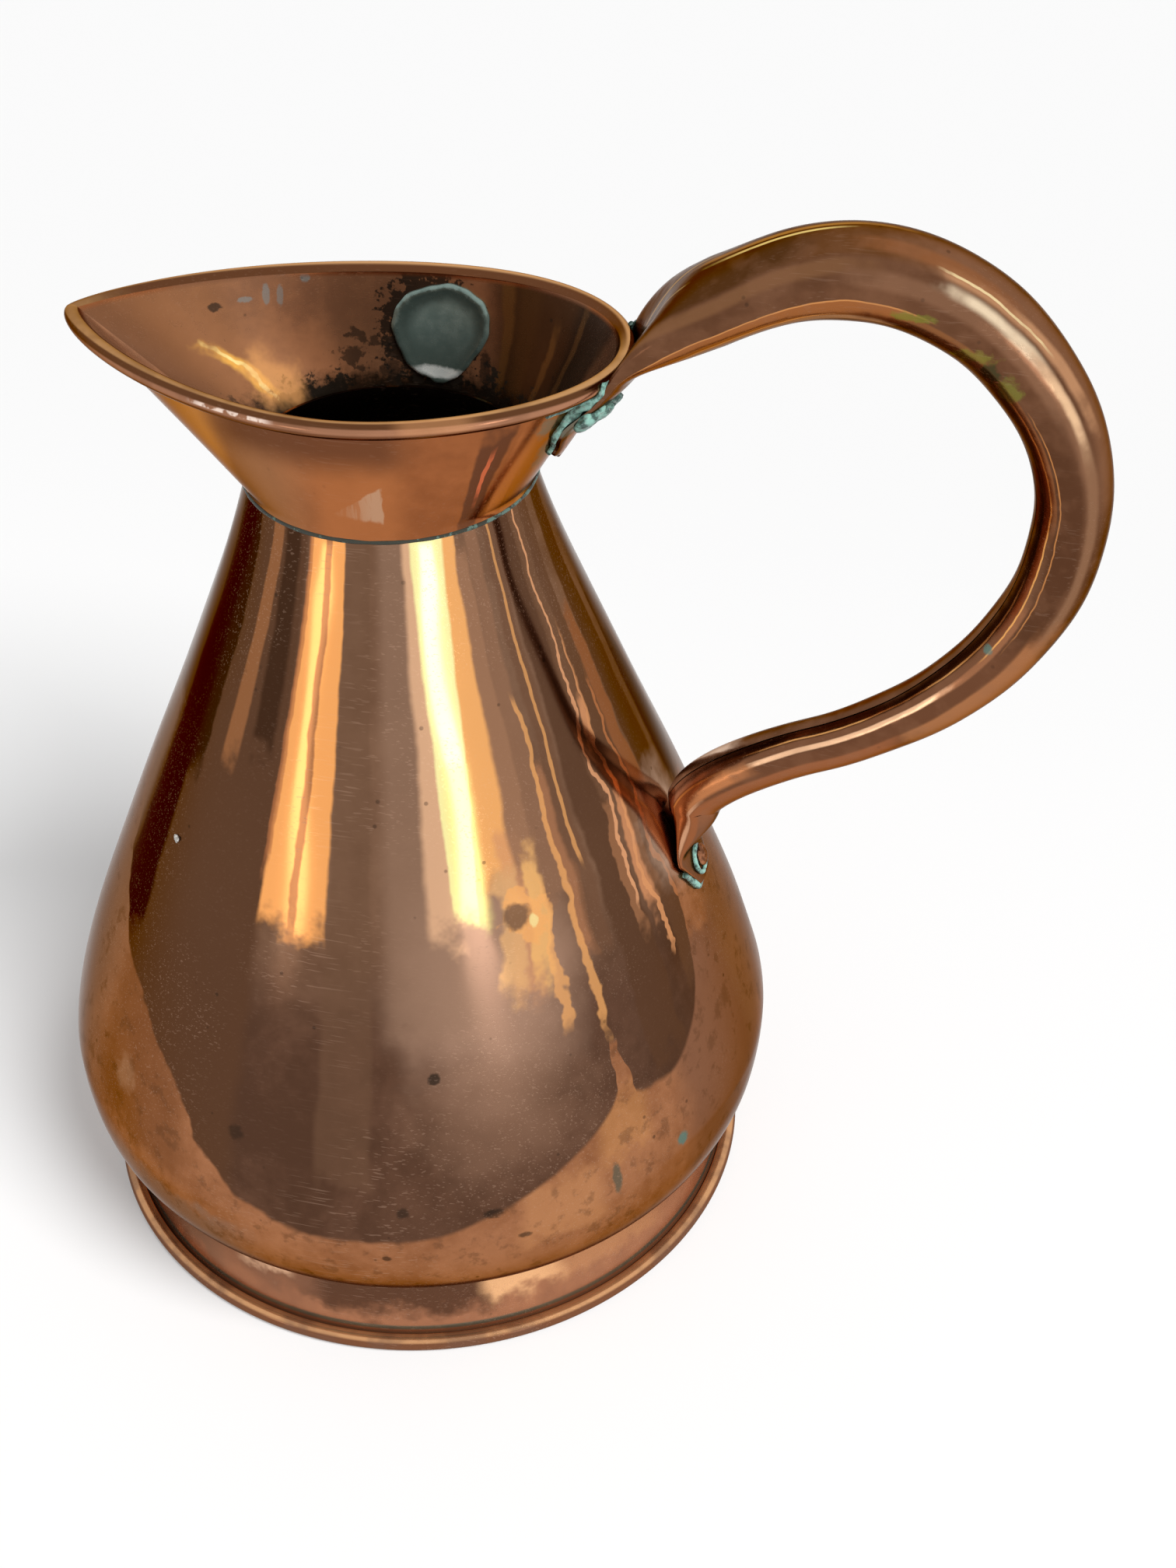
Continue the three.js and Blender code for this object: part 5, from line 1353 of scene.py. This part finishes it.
for side_name, way, seed, thickness in (("left", -1, 12.0, 1.3), ("right", 1, 15.0, 0.6)):
    corner = rulings_at(np.pi - way * np.linspace(0.16, 0.62, 24))
    line = on_wall(corner, corner["length"] - 4.2, collar_sheet / 2 + 1.5)
    run = solder_bead("under_rim_solder_" + side_name, line, False, green_solder, thickness, 1.2, 150.0, seed)
    edge_solders.append(run)
for lump in (crust, *edge_solders):
    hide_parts("handle_top_solder")
    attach(lump, "root")

tab_slope = tab_point_length / (tab_half_width - tab_tip_half_width)
fillet_line = []
for share in np.linspace(-0.82, 0.82, 60):
    across = share * tab_half_width
    near = tab_length - max(abs(across) - tab_tip_half_width, 0) * tab_slope + 1.0
    at, out_way = below_root(near)
    spot = at + out_way * 0.7
    fillet_line.append((spot[0] - across ** 2 / 2 / at[0], across + tab_aside, spot[1]))
tab_solder = solder_bead("tab_solder_run", fillet_line, False, green_solder, 1.15, 1.1, 160.0, 2.0)
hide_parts("handle_foot_solder")
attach(tab_solder, "root")

# Rivet and rove
# A copper rivet through the lower plate and the body wall, its tail closed over a washer inside.
# The head was rounded with a snap and has worn smooth.
rivet_at, rivet_out = below_root(23)
rivet_centre = np.array([rivet_at[0], -2.0, rivet_at[1]])
tab_outside = fit_gap + 2 * tab_half_depth
side_way = np.array([0, 1.0, 0])
plate_way = np.array([rivet_out[0], 0, rivet_out[1]])
up_plate = np.cross(plate_way, side_way)


def on_plate(rings):
    """Rings set square on the flank at the rivet's place."""
    return rivet_centre + rings[..., :1] * up_plate + rings[..., 1:2] * side_way + rings[..., 2:] * plate_way


dome = [(4.0 * math.sin(a), 0.7 + 1.9 * math.cos(a)) for a in np.linspace(0, math.pi / 2, 12)]
head_seat = tab_outside + fit_gap
shank = [(4.0, head_seat), (2.0, head_seat), (2.0, -4.0), (3.6, -4.0), (2.2, -5.6), (0.0, -5.6)]
head_profile = [(r, head_seat + h) for r, h in dome] + shank
rivet = turned_piece("plate_rivet", head_profile, 48, on_plate, 40)
rivet_copper, bench, shader, where = new_material("rivet_copper")
wear = bench.noise(where["Place"], 0.5, 3, 0.6)
colour = bench.shade(wear, 0.35, 0.65, (0.15, 0.06, 0.03), (0.42, 0.17, 0.085))
copper_surface(bench, shader, colour, bench.ease(wear, 0.3, 0.7, 0.24, 0.36), where["Place"])
rivet.data.materials.append(rivet_copper)
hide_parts("handle_rivet")
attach(rivet, "root")
ring_turns = np.linspace(0, 2 * np.pi, 60, endpoint=False)[:, None]
ring_line = rivet_centre + plate_way * (tab_outside + 0.35) - 1.5 * side_way - 0.6 * up_plate
ring_line = ring_line + 4.7 * (np.cos(ring_turns) * up_plate - np.sin(ring_turns) * side_way)
rivet_crust = solder_bead("rivet_crust", ring_line, True, green_solder, 0.85, 1.5, 240.0, 21.0)
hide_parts("handle_foot_solder")
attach(rivet_crust, "root")
rove_profile = [(2.3, -1.6), (5.0, -1.6), (5.0, -2.8), (2.3, -2.8)]
rove = turned_piece("rivet_washer", rove_profile, 48, on_plate, 40)
rove.data.materials.append(base_copper)
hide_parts("rivet_rove")
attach(rove, "root")

# Seal
# An oval disc of lead melted on to the inside of the collar's far wall. Its edge ran out unevenly
# and its face is pressed in the middle.
seal_width, seal_height = 29, 33
seal_half_turns = np.linspace(0, np.pi, 721)
_, rim_places, _ = rim_at(seal_half_turns)
rim_azimuths = np.arctan2(rim_places[:, 1], rim_places[:, 0])
seal_turn = seal_half_turns[np.argmin(np.abs(rim_azimuths - math.radians(82)))]


def seal_place(across, up, proud):
    probe = 0.02
    near = rulings_at(np.array([seal_turn - probe, seal_turn + probe]))
    mid = on_wall(near, near["length"] / 2, 0)
    speed = np.linalg.norm(mid[1] - mid[0]) / (2 * probe)
    ruling = rulings_at(seal_turn + np.atleast_1d(across) / speed)
    return on_wall(ruling, ruling["length"] * 0.5 + up, -(collar_sheet / 2 + 0.15 + proud))


seal_sides = 120
seal_angles = np.arange(seal_sides) / seal_sides * 2 * np.pi
seal_waves = [(0.012, 3, 0.6), (0.01, 5, 1), (0.012, 8, 2), (0.007, 17, 0)]
ragged = 1.03 + sum(size * np.sin(n * seal_angles + start) for size, n, start in seal_waves)
seal_levels = [
    # share of the width, height off the wall
    (1, 0), (1, 0.55), (0.975, 0.95), (0.93, 1.2), (0.87, 1.12), (0.8, 0.98), (0.6, 1.05), (0.36, 1.06),
    (0.2, 1), (0.04, 1),
]
seal_rows = []
for share, proud in seal_levels:
    wide = seal_width / 2 * share * ragged * np.cos(seal_angles)
    tall = seal_height / 2 * share * ragged * np.sin(seal_angles)
    seal_rows.append(seal_place(wide, tall, proud))
seal_points = np.concatenate(seal_rows + [seal_place(0, 0, 0), seal_place(0, 0, 1.0)])
seal_faces = ring_faces(len(seal_levels), seal_sides, closed=False)
under_tip, over_tip = len(seal_points) - 2, len(seal_points) - 1
top = (len(seal_levels) - 1) * seal_sides
for k in range(seal_sides):
    after = (k + 1) % seal_sides
    seal_faces += [(under_tip, after, k), (top + k, top + after, over_tip)]
seal_share = np.concatenate([np.repeat([share for share, _ in seal_levels], seal_sides), [1, 0]])
seal = new_piece("lead_seal", seal_points, seal_faces, {"from_middle": seal_share}, crease=50)
seal_lead, bench, shader, where = new_material("old_lead")
grain = bench.noise(where["Place"], 0.25, 4, 0.6)
colour = bench.shade(grain, 0.35, 0.65, (0.205, 0.29, 0.26), (0.265, 0.355, 0.32))
share = bench.scaled(bench.less(grain, 0.5), 0.3, bench.mark("from_middle"))
ring = (bench.ease(share, 0.55, 0.8), bench.ease(share, 0.9, 0.98, 1, 0.4))
ring = bench.times(*ring, bench.ease(where["Height"], 304, 322, 0.35, 0.9))
colour = bench.mix(bench.ease(where["Height"], 304, 324, 0.75, 0), colour, (0.085, 0.115, 0.095))
colour = bench.mix(ring, colour, (0.07, 0.1, 0.085))
# A painted highlight along the seal's lower edge.
lower_edge_highlight = bench.group(patch, where["Place"], (3.5, 45, 301.4), (9, 5, 1.9), 1.2, 0.3, 0.4)["Mask"]
colour = bench.mix(lower_edge_highlight, colour, (0.95, 1, 0.95))
finish(bench, shader, colour, 0.5, bench.ease(grain, 0.3, 0.7, 0.18, 0.3))
bench.feed(shader["Normal"], bump(bench, grain, 0.15, 0.0003))
seal.data.materials.append(seal_lead)
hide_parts("capacity_seal")
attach(seal, "root")

# Solder drop
# A small drop of tin that fell on the body while the neck was soldered and was never cleaned off.
bright_tin, bench, shader, where = new_material("bright_tin")
grain = bench.noise(where["Place"], 0.9, 3, 0.6)
colour = bench.shade(grain, 0.4, 0.6, (0.35, 0.33, 0.3), (0.75, 0.73, 0.7))
finish(bench, shader, colour, 0.9, bench.ease(grain, 0.3, 0.7, 0.25, 0.4))
drop_turn, drop_height = math.radians(-132.7), 180.1
drop_reach = np.interp(drop_height, body_wall[:, 1], body_wall[:, 0])
angle = (math.pi * np.arange(9) / 8)[:, None]
around = 2 * math.pi * np.arange(20) / 20
wide = (1.5 + 0.25 * np.sin(3 * around)) * np.maximum(np.sin(angle), 0.02)
proud = 0.8 * np.cos(angle)
off = drop_reach + 0.15 + proud
side_off = wide * np.cos(around)
x = off * math.cos(drop_turn) - side_off * math.sin(drop_turn)
y = off * math.sin(drop_turn) + side_off * math.cos(drop_turn)
drop_rings = np.stack([x, y, drop_height + wide * np.sin(around) - proud * 0.4], -1)
drop = closed_run("solder_drop", drop_rings, bright_tin)
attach(drop, "root")

# Studio: floor, sky, lamps and camera
# A plain pale floor under a white sky, soft daylight from high at the right and two upright lamps
# that stand for windows.
floor_mesh = bpy.data.meshes.new("floor")
half_floor = 30.0
floor_corners = [(x * half_floor, y * half_floor, 0) for x, y in ((-1, -1), (1, -1), (1, 1), (-1, 1))]
floor_mesh.from_pydata(floor_corners, [], [(0, 1, 2, 3)])
floor = linked("floor", floor_mesh)
paper = bpy.data.materials.new("floor_paper")
paper.use_nodes = True
paper.node_tree.nodes.clear()
bench = NodeBench(paper.node_tree)
seen = bench.put("ShaderNodeLightPath").outputs
spot = bench.put("ShaderNodeTexCoord").outputs["Object"]
behind = bench.ease(bench.put("ShaderNodeSeparateXYZ", {0: spot}).outputs[1], -0.1, 0.6)
far_off = bench.ease(bench.vector("LENGTH", spot, wanted="Value"), 1.2, 3.5)
paper_colour = bench.mix(behind, (0.93, 0.93, 0.93), (0.88, 0.88, 0.88))
matte = bench.put("ShaderNodeBsdfDiffuse", {"Color": paper_colour}).outputs[0]
paper_tone = bench.mix(bench.most(behind, far_off), (1, 1, 1), (0.945, 0.945, 0.945))
glow = bench.put("ShaderNodeEmission", {"Color": paper_tone, "Strength": 1}).outputs[0]
mirrored = bench.most(seen["Is Glossy Ray"], seen["Is Transmission Ray"])
looked_at = bench.times(seen["Is Camera Ray"], bench.scaled(far_off, 0.75, 0.25))
share = bench.most(looked_at, bench.times(mirrored, 0.75))
blended = bench.put("ShaderNodeMixShader", {0: share, 1: matte, 2: glow}).outputs[0]
bench.put("ShaderNodeOutputMaterial", {"Surface": blended})
floor_mesh.materials.append(paper)

world = bpy.data.worlds.new("white_room")
bpy.context.scene.world = world
world.use_nodes = True
world.node_tree.nodes.clear()
bench = NodeBench(world.node_tree)
seen = bench.put("ShaderNodeLightPath").outputs
looked_at = bench.most(seen["Is Glossy Ray"], seen["Is Transmission Ray"])
looked_at = bench.most(seen["Is Camera Ray"], looked_at)
strength = bench.scaled(looked_at, 0.675, 0.27)
sky = bench.put("ShaderNodeBackground", {"Color": (1, 1, 1), "Strength": strength}).outputs[0]
bench.put("ShaderNodeOutputWorld", {"Surface": sky})


def pointed(way):
    """How a lamp is turned to shine along a way."""
    return way.to_track_quat("-Z", "Y").to_euler()


def soft_box(name, spot, width, height, radiance):
    """An area lamp of a given brightness per area, turned to the jug, not seen by the camera."""
    lamp = bpy.data.lights.new(name, "AREA")
    lamp.shape = "RECTANGLE"
    lamp.size = width
    lamp.size_y = height
    lamp.energy = radiance * math.pi * width * height
    holder = linked(name, lamp)
    holder.location = spot
    holder.rotation_euler = pointed(Vector((axis_x * mm, 0, 0.24)) - Vector(spot))
    holder.visible_camera = False


def round_jug(turn, distance, height):
    turn = math.radians(turn)
    return (axis_x * mm + distance * math.cos(turn), distance * math.sin(turn), height)


soft_box("bright_window", round_jug(-51, 1.5, 0.33), 0.26, 0.4, 1.5)
soft_box("left_window", round_jug(-121, 1.5, 0.27), 0.2, 0.34, 1.3)
daylight = bpy.data.lights.new("daylight", "SUN")
daylight.angle = 0.5
daylight.energy = 3.4
daylight_holder = linked("daylight", daylight)
sun_turn, sun_climb = math.radians(-32), math.radians(50)
to_sun = Vector((math.cos(sun_turn), math.sin(sun_turn), math.tan(sun_climb)))
daylight_holder.rotation_euler = pointed(-to_sun)
daylight_holder.visible_glossy = False

camera = bpy.data.cameras.new("camera")
camera.lens = 48.64
camera.sensor_width = 36
camera_holder = linked("camera", camera)
forward_flat = Vector((-0.2146, 0.9767, 0)).normalized()
pitch, roll = 0.676, 0.0031
side = Vector((forward_flat.y, -forward_flat.x, 0))
forward = forward_flat * math.cos(pitch) + Vector((0, 0, -math.sin(pitch)))
upward = side.cross(forward)
right_way = side * math.cos(roll) + upward * math.sin(roll)
up_way = upward * math.cos(roll) - side * math.sin(roll)
facing = Matrix((right_way, up_way, -forward)).transposed().to_4x4()
facing.translation = Vector((axis_x * mm + 0.1864, -0.5572, 0.6315))
camera_holder.matrix_world = facing
camera.clip_start = 0.05
camera.clip_end = 50
bpy.context.scene.camera = camera_holder
bpy.context.scene.view_settings.view_transform = "Standard"
